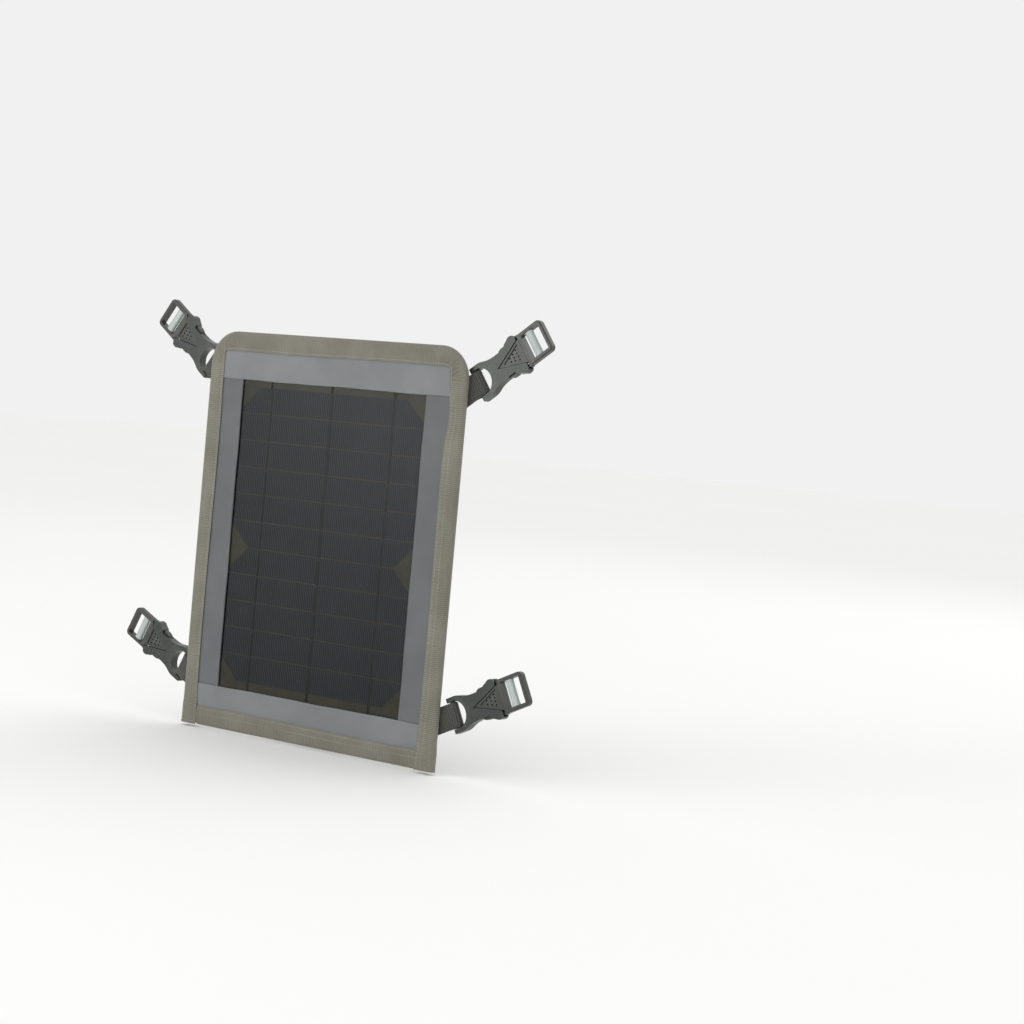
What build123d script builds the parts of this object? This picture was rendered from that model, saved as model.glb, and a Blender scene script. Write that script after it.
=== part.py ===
# Rucksack solar panel: eleven cell strips in a fabric frame, held by four webbing tabs
# with side-release buckles, and a small outlet box on the back.
# Millimetres. X right, Z up, the face looks along -Y and the back face lies on Y = 0.
import os
from math import cos, radians, sin, tan

from build123d import *

# ---- overall sizes -------------------------------------------------------------------------
panel_width = 216.0
panel_height = 268.0
corner_radius = 22.0          # the two top corners
binding_width = 13.0
binding_thickness = 0.6
edge_clearance = 0.05         # between the binding and what it wraps
round_relief = 0.02           # keeps a full round edge just short of a half circle
tongue_length = 4.0           # ends of the bottom tape, tucked in under the side tape
tongue_width = 8.0
tongue_from_edge = 3.0
tongue_clearance = 0.5

# ---- layers, counted from the back face to the front ---------------------------------------
back_panel_thickness = 1.2
board_thickness = 1.4
encapsulant_thickness = 0.5
film_thickness = 0.4
strip_thickness = 1.0         # face strips are hemmed double
strip_single = 0.5
lead_hole_length = 10.0
lead_hole_height = 4.0
lead_hole_margin = 1.0        # the hole in the cloth is larger than the one in the board

# ---- cells ----------------------------------------------------------------------------------
cell_width = 156.0
cell_strip_height = 17.33
cell_pitch = 18.0
cell_thickness = 0.25
cell_corner_cut = 15.4
strips_upper = 6
strips_lower = 5
notch_level = -10.0           # where the upper and lower wafers meet
ribbon_spacing = 52.0
ribbon_width = 1.6
ribbon_thickness = 0.1
ribbon_slot_clearance = 0.3
bus_ribbon_width = 2.4
bus_ribbon_cover = 0.7         # how far the bus ribbons lie in under the face strips
bus_ribbon_lap = 1.2           # the top links reach this far in under the top bus ribbon
bus_end_reach = 6.0           # past the outer ribbons
link_margin = 1.5             # each link stops this far short of its strip's end
ribbon_drop = 0.4             # the upright step of a link, in the gap between two strips

# ---- window in the face ---------------------------------------------------------------------
strip_lap_on_cells = 0.6      # the side strips just cover the cells' ends
window_top_margin = 4.0
window_bottom_margin = 5.5
laminate_overlap = 7.0        # how far the laminate runs under the face strips
laminate_corner = 3.0

# ---- tabs and buckles -----------------------------------------------------------------------
webbing_width = 16.0
webbing_thickness = 1.2
webbing_side_clearance = 0.7
tab_sewn_length = 26.0
tab_free_length = 8.0         # from the fold line to the buckle's bar
bar_radius = 1.5
bar_clearance = 0.35
buckle_thickness = 6.2
buckle_gap = 0.8              # between the panel's back and the buckle
buckle_end_wall = 2.8
fold_relief_height = 0.3      # the sewn end slopes away, so that the loop can fold back
fold_relief = 2.2
loop_heel_along = 2.6         # where the inside of the loop closes on itself
loop_heel_height = 0.35
loop_heel_radius = 0.15
crescent_start = 3.5
crescent_depth = 6.2
web_behind_crescent = 6.2
v_half_angle = 21.6
arm_end = 36.4
arm_tip_half_width = 13.0
waist_half_width = 8.5
socket_wall = 1.0
socket_edge = 1.1             # rounding all round the mouldings
web_to_waist = 5.0            # the sides pull in over this length
waist_shoulder = 1.0
waist_lead = 0.6              # straight waist before the side window
shoulder_lead = 0.8
shoulder_run = 0.2
arm_flare = 3.4
arm_flare_step = 0.9
arm_round = 3.6
arm_lip = 2.0
arm_lip_round = 0.8
hollow_lead = 1.4             # the hollow reaches this far before the side window
hollow_flare = 3.2
hollow_flare_step = 1.2
hollow_end = 3.0
prong_height = 3.6
prong_clearance = 0.2
ear_rise = 1.9                # how far the thumb pads stand out of the waist
shoulder_rise = 2.0           # the step that the thumb pads latch behind
ear_round = 0.3
ear_fall = 0.4
ear_crest = 2.4
prong_tip_gap = 0.3
prong_tip_outer = 1.6         # the tip's outer and inner sides, in from the waist
prong_tip_inner = 2.6
prong_neck_along = 2.8
prong_neck_outer = 1.4
prong_neck_inner = 0.4
prong_catch = 0.5
root_taper = 1.6
root_taper_step = 0.2
root_outer_share = 0.8        # of the knuckle's radius
root_inner_share = 0.43
latch_clearance = 0.3
v_clearance = 0.35
window_start = 19.8
window_end = 27.2
frame_start = 37.2
frame_end = 57.0
frame_rail = 2.4
frame_base = 3.4
frame_thickness = 5.0
frame_corner = 3.0
frame_edge = 0.9
web_recess = 0.7
web_rim = 1.3
web_recess_start = 4.2        # from the tip of the web
web_recess_end = 1.6
dot_rows = 3
dot_start = 9.6
dot_row_pitch = 3.1
dot_pitch = 2.3
dot_radius = 0.6
grip_bar_start = 43.0
grip_bar_end = 49.0
grip_bar_thickness = 4.2
grip_bar_round = 1.6
knuckle_radius = 1.05
knuckle_clearance = 0.25
knuckle_along = 37.6
knuckle_across = 10.4

top_bar_beyond_side = 5.9     # the buckle's bar, from the panel's edges
top_bar_below_top = 21.9
top_tab_angle = 36.0
bottom_bar_beyond_side = 9.0
bottom_bar_above_bottom = 37.4
bottom_tab_angle = 26.0

# ---- outlet box on the back -----------------------------------------------------------------
box_width = 66.0
box_height = 34.0
box_depth = 14.0
box_wall = 1.6
box_corner = 5.0
box_level = -92.0
lid_thickness = 1.6
lid_lip = 1.0
lid_clearance = 0.1
circuit_thickness = 1.2
circuit_height = 2.6
usb_width = 13.1
usb_height = 5.7
usb_wall = 0.3
usb_length = 13.5
usb_tongue_thickness = 1.84
screw_radius = 1.3
screw_head_radius = 2.3
screw_head_height = 1.0
screw_inset = 6.0
boss_radius = 2.9
screw_hole_clearance = 0.05
screw_hole_depth = 6.0
screw_length = 5.5
lid_hole_clearance = 0.2
cross_length = 2.6            # cross recess in the screw heads
cross_width = 0.6
lid_edge = 1.0
post_radius = 1.5
board_to_boss = 0.5
board_to_wall = 1.0
chip_size = 7.0
chip_height = 3.0
chip_inset = 6.0
usb_recess = 0.4              # the socket's mouth sits just inside the box wall
usb_mouth_clearance = 0.1
usb_back_wall = 3.0
usb_tongue_gap = 0.6
usb_tongue_side = 1.0

# ---- derived levels -------------------------------------------------------------------------
half_width = panel_width / 2
half_height = panel_height / 2
board_level = back_panel_thickness
encapsulant_level = board_level + board_thickness
film_level = encapsulant_level + encapsulant_thickness
strip_level = film_level + film_thickness
face_level = strip_level + strip_thickness
total_thickness = face_level + binding_thickness
cell_level = film_level - cell_thickness
core_round = (face_level - binding_thickness) / 2
core_inset = binding_thickness + core_round + edge_clearance
core_half_width = half_width - core_inset
core_half_height = half_height - core_inset
core_radius = corner_radius - core_inset
inner_half_width = half_width - binding_width
inner_half_height = half_height - binding_width
array_top = notch_level + strips_upper * cell_pitch
array_bottom = notch_level - strips_lower * cell_pitch
window_half_width = cell_width / 2 - strip_lap_on_cells
window_top = array_top + window_top_margin
window_bottom = array_bottom - window_bottom_margin
window_middle = (window_top + window_bottom) / 2
window_height = window_top - window_bottom
laminate_width = 2 * (window_half_width + laminate_overlap)
laminate_height = window_height + 2 * laminate_overlap

os.makedirs("parts", exist_ok=True)


def save(part, label):
    part.label = label
    export_step(part, f"parts/{label}.step")


def layer(level):
    """The plane that lies this far in front of the back face."""
    return Plane.XZ.offset(level)


def slab_outline(half_w, half_h, radius):
    """A rectangle with its two top corners rounded."""
    with BuildSketch() as slab:
        with BuildLine():
            Polyline(
                (-half_w, half_h - radius),
                (-half_w, -half_h),
                (half_w, -half_h),
                (half_w, half_h - radius),
            )
            RadiusArc((half_w, half_h - radius), (half_w - radius, half_h), -radius)
            Line((half_w - radius, half_h), (-half_w + radius, half_h))
            RadiusArc((-half_w + radius, half_h), (-half_w, half_h - radius), -radius)
        make_face()
    return slab.sketch


# ---- back panel, board, foam and laminate ---------------------------------------------------
with BuildPart() as back_panel:
    with BuildSketch(layer(0)):
        Rectangle(
            2 * (inner_half_width - edge_clearance), 2 * (inner_half_height - edge_clearance)
        )
    extrude(amount=back_panel_thickness)
    with BuildSketch(layer(binding_thickness + edge_clearance)):
        add(slab_outline(core_half_width, core_half_height, core_radius))
    extrude(amount=back_panel_thickness - binding_thickness - edge_clearance)
    # slot for the two leads that go through to the outlet box
    with BuildSketch(layer(0)):
        with Locations((0, box_level)):
            SlotOverall(
                lead_hole_length + 2 * lead_hole_margin, lead_hole_height + 2 * lead_hole_margin
            )
    extrude(amount=back_panel_thickness, mode=Mode.SUBTRACT)
save(back_panel.part, "back_panel")

with BuildPart() as substrate_board:
    with BuildSketch(layer(board_level)):
        with Locations((0, window_middle)):
            RectangleRounded(laminate_width, laminate_height, laminate_corner)
    extrude(amount=board_thickness)
    with BuildSketch(layer(board_level)):
        with Locations((0, box_level)):
            SlotOverall(lead_hole_length, lead_hole_height)
    extrude(amount=board_thickness, mode=Mode.SUBTRACT)
save(substrate_board.part, "substrate_board")

with BuildPart() as edge_foam:
    with BuildSketch(layer(board_level)):
        add(slab_outline(core_half_width, core_half_height, core_radius))
        with Locations((0, window_middle)):
            RectangleRounded(
                laminate_width + 2 * edge_clearance,
                laminate_height + 2 * edge_clearance,
                laminate_corner + edge_clearance,
                mode=Mode.SUBTRACT,
            )
    extrude(amount=strip_level - board_level)
save(edge_foam.part, "edge_foam")


def strip_middle(number):
    """Height of a cell strip's middle, counted from the top."""
    return array_top - (number + 0.5) * cell_pitch


def strip_outline(number, grow=0.0):
    """One cell strip: the end strips of each wafer have its cut corners."""
    top_end = number in (0, strips_upper)
    bottom_end = number in (strips_upper - 1, strips_upper + strips_lower - 1)
    w = cell_width / 2 + grow
    h = cell_strip_height / 2 + grow
    cut = cell_corner_cut
    if top_end:
        points = [(-w, -h), (w, -h), (w, h - cut), (w - cut, h), (-w + cut, h), (-w, h - cut)]
    elif bottom_end:
        points = [(-w, h), (-w, -h + cut), (-w + cut, -h), (w - cut, -h), (w, -h + cut), (w, h)]
    else:
        points = [(-w, -h), (w, -h), (w, h), (-w, h)]
    with Locations((0, strip_middle(number))):
        Polygon(*points, align=None)


strip_count = strips_upper + strips_lower
ribbon_columns = (-ribbon_spacing, 0.0, ribbon_spacing)
ribbon_slot_width = ribbon_width + 2 * ribbon_slot_clearance
bus_top = window_top + bus_ribbon_cover + bus_ribbon_width / 2
bus_bottom = window_bottom - bus_ribbon_cover - bus_ribbon_width / 2
bus_length = 2 * (ribbon_spacing + bus_end_reach)
slot_height = bus_top - bus_bottom + bus_ribbon_width
slot_middle = (bus_top + bus_bottom) / 2

with BuildPart() as encapsulant_sheet:
    with BuildSketch(layer(encapsulant_level)):
        with Locations((0, window_middle)):
            RectangleRounded(laminate_width, laminate_height, laminate_corner)
    extrude(amount=encapsulant_thickness)
    with BuildSketch(layer(cell_level)):
        for number in range(strip_count):
            strip_outline(number)
    extrude(amount=cell_thickness, mode=Mode.SUBTRACT)
    with BuildSketch(layer(cell_level - ribbon_thickness)):
        for column in ribbon_columns:
            with Locations((column, slot_middle)):
                Rectangle(ribbon_slot_width, slot_height)
        for level in (bus_top, bus_bottom):
            with Locations((0, level)):
                Rectangle(bus_length, bus_ribbon_width)
    extrude(amount=ribbon_thickness + cell_thickness, mode=Mode.SUBTRACT)
save(encapsulant_sheet.part, "encapsulant_sheet")

for number in range(strip_count):
    with BuildPart() as cell_strip:
        with BuildSketch(layer(cell_level)):
            strip_outline(number)
        extrude(amount=cell_thickness)
    save(cell_strip.part, f"cell_strip_{number + 1:02d}")

# Each ribbon link lies on the front of one strip, goes through the gap below it and lies under
# the next strip.
link_reach = cell_strip_height - link_margin
strip_gap = cell_pitch - cell_strip_height
for name, column in zip(("left", "middle", "right"), ribbon_columns):
    with BuildPart() as tabbing_ribbon:
        for number in range(strip_count):
            gap_level = strip_middle(number) - cell_pitch / 2
            with BuildSketch(layer(film_level)):
                with Locations((column, gap_level + (link_reach + strip_gap) / 2)):
                    Rectangle(ribbon_width, link_reach)
            extrude(amount=ribbon_thickness)
            last = number == strip_count - 1
            fall = cell_thickness + ribbon_thickness + (0 if last else ribbon_thickness)
            with BuildSketch(layer(film_level + ribbon_thickness - fall)):
                with Locations((column, gap_level)):
                    Rectangle(ribbon_width, ribbon_drop)
            extrude(amount=fall)
            with BuildSketch(layer(film_level)):
                with Locations((column, gap_level + strip_gap / 2)):
                    Rectangle(ribbon_width, strip_gap)
            extrude(amount=ribbon_thickness)
            if not last:
                with BuildSketch(layer(cell_level - ribbon_thickness)):
                    with Locations((column, gap_level - (link_reach + strip_gap) / 2)):
                        Rectangle(ribbon_width, link_reach)
                    with Locations((column, gap_level - strip_gap / 4)):
                        Rectangle(ribbon_width, strip_gap)
                extrude(amount=ribbon_thickness)
        # one link goes from the back of the first strip to under the top bus ribbon
        link_low = strip_middle(0) - link_reach / 2
        link_high = bus_top - bus_ribbon_width / 2 + bus_ribbon_lap
        with BuildSketch(layer(cell_level - ribbon_thickness)):
            with Locations((column, (link_low + link_high) / 2)):
                Rectangle(ribbon_width, link_high - link_low)
        extrude(amount=ribbon_thickness)
        # the last one goes on, level with the bottom bus ribbon, and stops at its edge
        tail_low = bus_bottom + bus_ribbon_width / 2
        with BuildSketch(layer(cell_level)):
            with Locations((column, (array_bottom + tail_low) / 2)):
                Rectangle(ribbon_width, array_bottom - tail_low)
        extrude(amount=ribbon_thickness)
    save(tabbing_ribbon.part, f"tabbing_ribbon_{name}")

for name, level in (("top", bus_top), ("bottom", bus_bottom)):
    with BuildPart() as bus_ribbon:
        with BuildSketch(layer(cell_level)):
            with Locations((0, level)):
                Rectangle(bus_length, bus_ribbon_width)
        extrude(amount=ribbon_thickness)
    save(bus_ribbon.part, f"bus_ribbon_{name}")

with BuildPart() as front_film:
    with BuildSketch(layer(film_level)):
        with Locations((0, window_middle)):
            RectangleRounded(laminate_width, laminate_height, laminate_corner)
    extrude(amount=film_thickness)
    with BuildSketch(layer(film_level)):
        for column in ribbon_columns:
            with Locations((column, slot_middle)):
                Rectangle(ribbon_slot_width, slot_height)
    extrude(amount=ribbon_thickness + edge_clearance, mode=Mode.SUBTRACT)
save(front_film.part, "front_film")

# ---- face strips: the top and bottom ones lie over the ends of the side ones -----------------
side_strip_width = core_half_width - window_half_width
side_strip_middle = (core_half_width + window_half_width) / 2
for name, side in (("left", -1), ("right", 1)):
    with BuildPart() as side_strip:
        with BuildSketch(layer(strip_level)):
            add(slab_outline(core_half_width, core_half_height, core_radius))
            with Locations((side * side_strip_middle, 0)):
                Rectangle(side_strip_width, panel_height, mode=Mode.INTERSECT)
        extrude(amount=strip_single)
        with BuildSketch(layer(strip_level)):
            with Locations((side * side_strip_middle, window_middle)):
                Rectangle(side_strip_width, window_height - 2 * edge_clearance)
        extrude(amount=strip_thickness)
    save(side_strip.part, f"face_strip_{name}")

for name, low, high in (
    ("top", window_top, core_half_height),
    ("bottom", -core_half_height, window_bottom),
):
    with BuildPart() as end_strip:
        with BuildSketch(layer(strip_level)):
            add(slab_outline(core_half_width, core_half_height, core_radius))
            with Locations((0, (low + high) / 2)):
                Rectangle(panel_width * 2, high - low, mode=Mode.INTERSECT)
        extrude(amount=strip_thickness)
        with BuildSketch(layer(strip_level)):
            for side in (-1, 1):
                with Locations((side * side_strip_middle, 0)):
                    Rectangle(side_strip_width, panel_height * 2)
        extrude(amount=strip_single, mode=Mode.SUBTRACT)
    save(end_strip.part, f"face_strip_{name}")

# ---- edge binding: one tape round the sides and top, one along the bottom --------------------
tongue_thickness = binding_thickness / 2
tongue_x = inner_half_width + tongue_length / 2
tongue_z = -half_height + tongue_from_edge + tongue_width / 2

with BuildPart() as binding_shell:
    with BuildSketch(layer(0)):
        add(slab_outline(half_width, half_height, corner_radius))
    extrude(amount=total_thickness)
    fillet(binding_shell.edges().filter_by(Plane.XZ), total_thickness / 2 - round_relief)
    with BuildPart(mode=Mode.PRIVATE) as binding_core:
        with BuildSketch(layer(binding_thickness)):
            add(
                slab_outline(
                    half_width - binding_thickness,
                    half_height - binding_thickness,
                    corner_radius - binding_thickness,
                )
            )
        extrude(amount=face_level - binding_thickness)
        fillet(binding_core.edges().filter_by(Plane.XZ), core_round - round_relief)
    add(binding_core.part, mode=Mode.SUBTRACT)
    with BuildSketch(layer(0)):
        Rectangle(2 * inner_half_width, 2 * inner_half_height)
    extrude(amount=total_thickness, mode=Mode.SUBTRACT)

with BuildPart() as edge_binding_bottom:
    add(binding_shell.part)
    with BuildSketch(layer(0)):
        with Locations((0, -half_height)):
            Rectangle(
                2 * (inner_half_width - edge_clearance),
                2 * (binding_width - edge_clearance),
            )
    extrude(amount=total_thickness, mode=Mode.INTERSECT)
    # thin ends that are tucked in under the side tape
    for level in (binding_thickness - tongue_thickness, face_level):
        with BuildSketch(layer(level)):
            with Locations((-tongue_x, tongue_z), (tongue_x, tongue_z)):
                Rectangle(tongue_length + 2 * tongue_clearance, tongue_width)
        extrude(amount=tongue_thickness)
save(edge_binding_bottom.part, "edge_binding_bottom")

with BuildPart() as edge_binding_sides:
    add(binding_shell.part)
    with BuildSketch(layer(0)):
        with Locations((0, -half_height)):
            Rectangle(2 * inner_half_width, 2 * binding_width)
    extrude(amount=total_thickness, mode=Mode.SUBTRACT)
    for level in (binding_thickness - tongue_thickness - edge_clearance, face_level):
        with BuildSketch(layer(level)):
            with Locations((-tongue_x, tongue_z), (tongue_x, tongue_z)):
                Rectangle(tongue_length + 4 * tongue_clearance, tongue_width + 2 * tongue_clearance)
        extrude(amount=tongue_thickness + edge_clearance, mode=Mode.SUBTRACT)
save(edge_binding_sides.part, "edge_binding_sides")

# ---- corner tabs and side-release buckles ----------------------------------------------------
loop_inner = bar_radius + bar_clearance
loop_outer = loop_inner + webbing_thickness
crescent_half = webbing_width / 2 + webbing_side_clearance
crescent_radius = (crescent_half**2 + crescent_depth**2) / (2 * crescent_depth)
crescent_centre = crescent_start + crescent_depth - crescent_radius
v_apex = crescent_start + crescent_depth + web_behind_crescent
v_slope = tan(radians(v_half_angle))
v_side_shift = v_clearance / cos(radians(v_half_angle))
shoulder_half_width = waist_half_width + shoulder_rise
latch_opening = shoulder_half_width - socket_wall
hollow_flare_half = arm_tip_half_width - hollow_flare_step - socket_wall
lip_along = arm_end - arm_lip_round
end_half_width = crescent_half + buckle_end_wall
strap_opening = webbing_width + 2 * webbing_side_clearance
bar_height = buckle_thickness / 2 + buckle_gap
bar_end = loop_outer
buckle_middle = bar_height
fold_height = webbing_thickness


def v_half(along, shift=0.0):
    """Half the width of the V-shaped mouth at this distance from the bar."""
    return (along - v_apex) * v_slope + shift


def corner_plane(x, z, side, angle):
    """Lies on the back face at the buckle's bar, X along the tab and Z to the back."""
    along = (side * cos(radians(angle)), 0, sin(radians(angle)))
    return Plane(origin=(x, 0, z), x_dir=along, z_dir=(0, 1, 0))


def cross_plane(x, z, side, angle):
    """Stands across the tab, X along it and Y to the back."""
    along = Vector(side * cos(radians(angle)), 0, sin(radians(angle)))
    return Plane(origin=(x, 0, z), x_dir=along, z_dir=along.cross(Vector(0, 1, 0)))


def make_tab_end(section):
    """Two plies sewn to the back, ending just before the fold line."""
    start = -tab_free_length - tab_sewn_length
    end = -tab_free_length - webbing_thickness - edge_clearance
    height = 2 * webbing_thickness
    with BuildPart() as tab_end:
        with BuildSketch(section):
            Polygon(
                (start, 0),
                (end, 0),
                (end, fold_relief_height),
                (end - fold_relief, height),
                (start, height),
                align=None,
            )
        extrude(amount=webbing_width / 2, both=True)
    return tab_end.part


def make_tab_loop(section):
    fold = -tab_free_length
    with BuildPart() as tab_loop:
        with BuildSketch(section):
            with BuildLine():
                CenterArc((0, bar_height), loop_outer, 0, 360)
                CenterArc((fold, fold_height), webbing_thickness, 0, 360)
            make_hull()
        extrude(amount=webbing_width / 2, both=True)
        with BuildSketch(section):
            with BuildLine():
                CenterArc((0, bar_height), loop_inner, 0, 360)
                CenterArc(
                    (fold + loop_heel_along, fold_height + loop_heel_height),
                    loop_heel_radius,
                    0,
                    360,
                )
            make_hull()
        extrude(amount=webbing_width / 2, both=True, mode=Mode.SUBTRACT)
    return tab_loop.part


def make_socket(flat, section):
    low = buckle_middle - buckle_thickness / 2
    cavity = buckle_middle - prong_height / 2 - prong_clearance
    cavity_height = prong_height + 2 * prong_clearance
    with BuildPart() as socket:
        with BuildSketch(flat.offset(low)) as outline:
            with BuildLine():
                for turn in (1, -1):
                    Polyline(
                        (-bar_end, 0),
                        (-bar_end, turn * end_half_width),
                        (crescent_start, turn * end_half_width),
                    )
                    Spline(
                        (crescent_start, turn * end_half_width),
                        (v_apex - web_to_waist, turn * (waist_half_width + waist_shoulder)),
                        (window_start - waist_lead, turn * waist_half_width),
                        tangents=((1, 0), (1, 0)),
                    )
                    Polyline(
                        (window_start - waist_lead, turn * waist_half_width),
                        (window_end - shoulder_lead, turn * waist_half_width),
                        (window_end + shoulder_run, turn * shoulder_half_width),
                    )
                    Spline(
                        (window_end + shoulder_run, turn * shoulder_half_width),
                        (window_end + arm_flare, turn * (arm_tip_half_width - arm_flare_step)),
                        (arm_end - arm_round, turn * arm_tip_half_width),
                        tangents=((1, 0.6 * turn), (1, 0)),
                    )
                    Spline(
                        (arm_end - arm_round, turn * arm_tip_half_width),
                        (arm_end, turn * (v_half(arm_end) + arm_lip)),
                        (lip_along, turn * v_half(lip_along)),
                        tangents=((1, 0), (-1, -turn * v_slope)),
                    )
                    Line((lip_along, turn * v_half(lip_along)), (v_apex, 0))
            make_face()
        extrude(amount=buckle_thickness)
        rim = socket.edges().filter_by(Plane.XZ)
        fillet(rim, socket_edge)
        # the opening the webbing goes through leaves a round bar at the end
        with BuildSketch(flat.offset(low - 1)):
            with Locations(((crescent_start - bar_end - 1) / 2, 0)):
                Rectangle(crescent_start + bar_end + 1, 2 * crescent_half)
            with BuildLine():
                ThreePointArc(
                    (crescent_start, -crescent_half),
                    (crescent_start + crescent_depth, 0),
                    (crescent_start, crescent_half),
                )
                Line((crescent_start, crescent_half), (crescent_start, -crescent_half))
            make_face()
        extrude(amount=buckle_thickness + 2, mode=Mode.SUBTRACT)
        with BuildSketch(section):
            with Locations((0, bar_height)):
                Circle(bar_radius)
        extrude(amount=crescent_half + 0.5, both=True)
        # one hollow for both prongs, open at the arm ends, the mouth and the side windows
        for turn in (1, -1):
            with BuildSketch(flat.offset(cavity)):
                Polygon(
                    (window_start - hollow_lead, 0),
                    (arm_end + 2, 0),
                    (arm_end + 2, turn * (arm_tip_half_width - socket_wall)),
                    (arm_end - hollow_end, turn * (arm_tip_half_width - socket_wall)),
                    (window_end + hollow_flare, turn * hollow_flare_half),
                    (window_end, turn * latch_opening),
                    (window_end, turn * (arm_tip_half_width + 2)),
                    (window_start, turn * (arm_tip_half_width + 2)),
                    (window_start, turn * (waist_half_width - socket_wall)),
                    (window_start - hollow_lead, turn * (waist_half_width - socket_wall)),
                    align=None,
                )
            extrude(amount=cavity_height, mode=Mode.SUBTRACT)
    return socket.part


def make_plug(flat):
    low = buckle_middle - frame_thickness / 2
    frame_half = strap_opening / 2 + frame_rail
    with BuildPart() as plug:
        # frame that the strap threads through
        with BuildSketch(flat.offset(low)):
            with Locations(((frame_start + frame_end) / 2, 0)):
                RectangleRounded(frame_end - frame_start, 2 * frame_half, frame_corner)
            with Locations((frame_start + frame_corner / 2, 0)):
                Rectangle(frame_corner, 2 * frame_half)
        extrude(amount=frame_thickness)
        fillet(plug.edges().filter_by(Plane.XZ), frame_edge)
        with BuildSketch(flat.offset(low)):
            window_from = frame_start + frame_base
            window_to = frame_end - frame_rail
            with Locations(((window_from + window_to) / 2, 0)):
                Rectangle(window_to - window_from, strap_opening)
        extrude(amount=frame_thickness, mode=Mode.SUBTRACT)
        # triangular web that fills the mouth of the socket
        with BuildSketch(flat.offset(low)):
            tip = v_apex + v_side_shift / v_slope
            base = frame_start + 0.5
            Polygon(
                (tip, 0),
                (base, v_half(base, -v_side_shift)),
                (base, -v_half(base, -v_side_shift)),
                align=None,
            )
        extrude(amount=frame_thickness)
        with BuildSketch(flat.offset(low)):
            inner_tip = tip + web_recess_start
            inner_base = frame_start - web_recess_end
            Polygon(
                (inner_tip, 0),
                (inner_base, v_half(inner_base, -v_side_shift - web_rim)),
                (inner_base, -v_half(inner_base, -v_side_shift - web_rim)),
                align=None,
            )
        extrude(amount=web_recess, mode=Mode.SUBTRACT)
        with BuildSketch(flat.offset(low)):
            for row in range(dot_rows):
                along = tip + dot_start + row * dot_row_pitch
                with Locations((along, 0)):
                    with GridLocations(dot_pitch, dot_pitch, 1, row + 2):
                        Circle(dot_radius)
        extrude(amount=frame_thickness, mode=Mode.SUBTRACT)
        # rounded seats for the roots of the prongs
        with BuildSketch(flat.offset(low)):
            with Locations((knuckle_along, knuckle_across), (knuckle_along, -knuckle_across)):
                Circle(knuckle_radius + knuckle_clearance)
            for turn in (1, -1):
                with Locations((frame_start - 1, turn * knuckle_across)):
                    Rectangle(3, 2 * (knuckle_radius + knuckle_clearance))
        extrude(amount=frame_thickness, mode=Mode.SUBTRACT)
    return plug.part


def make_grip_bar(flat):
    low = buckle_middle - grip_bar_thickness / 2
    width = grip_bar_end - grip_bar_start
    with BuildPart() as grip_bar:
        with BuildSketch(flat.offset(low)):
            with Locations(((grip_bar_start + grip_bar_end) / 2, 0)):
                Rectangle(width, strap_opening)
        extrude(amount=grip_bar_thickness)
        fillet(grip_bar.edges().filter_by(lambda e: abs(e.length - strap_opening) < 1e-6), grip_bar_round)
    return grip_bar.part


def make_prong(flat, turn):
    low = buckle_middle - prong_height / 2
    ear = waist_half_width + ear_rise
    root_outer = knuckle_across + knuckle_radius * root_outer_share
    root_inner = knuckle_across - knuckle_radius * root_inner_share
    tip_along = window_start + prong_tip_gap
    neck_along = window_end + prong_neck_along
    catch_along = window_end - latch_clearance
    with BuildPart() as prong:
        with BuildSketch(flat.offset(low)):
            with BuildLine():
                Polyline(
                    (knuckle_along, turn * root_outer),
                    (neck_along, turn * (waist_half_width + prong_neck_outer)),
                    (catch_along, turn * (waist_half_width + prong_catch)),
                    (catch_along, turn * (ear - ear_round)),
                    (catch_along - ear_round, turn * ear),
                )
                Spline(
                    (catch_along - ear_round, turn * ear),
                    (window_start + ear_crest, turn * (ear - ear_fall)),
                    (tip_along, turn * (waist_half_width - prong_tip_outer)),
                    tangents=((-1, 0), (0, -turn)),
                )
                Polyline(
                    (tip_along, turn * (waist_half_width - prong_tip_outer)),
                    (tip_along, turn * (waist_half_width - prong_tip_inner)),
                    (neck_along, turn * (waist_half_width - prong_neck_inner)),
                    (knuckle_along - root_taper, turn * (root_inner - root_taper_step)),
                    (knuckle_along, turn * root_inner),
                    (knuckle_along, turn * root_outer),
                )
            make_face()
            with Locations((knuckle_along, turn * knuckle_across)):
                Circle(knuckle_radius)
        extrude(amount=prong_height)
    return prong.part


top_bar_x = half_width + top_bar_beyond_side
top_bar_z = half_height - top_bar_below_top
bottom_bar_x = half_width + bottom_bar_beyond_side
bottom_bar_z = -half_height + bottom_bar_above_bottom
corners = (
    ("top_left", -top_bar_x, top_bar_z, -1, top_tab_angle),
    ("top_right", top_bar_x, top_bar_z, 1, top_tab_angle),
    ("bottom_left", -bottom_bar_x, bottom_bar_z, -1, bottom_tab_angle),
    ("bottom_right", bottom_bar_x, bottom_bar_z, 1, bottom_tab_angle),
)
for name, x, z, side, angle in corners:
    flat = corner_plane(x, z, side, angle)
    section = cross_plane(x, z, side, angle)
    save(make_tab_end(section), f"tab_end_{name}")
    save(make_tab_loop(section), f"tab_loop_{name}")
    save(make_socket(flat, section), f"buckle_socket_{name}")
    save(make_plug(flat), f"buckle_plug_{name}")
    save(make_grip_bar(flat), f"grip_bar_{name}")
    save(make_prong(flat, 1), f"prong_a_{name}")
    save(make_prong(flat, -1), f"prong_b_{name}")

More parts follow.
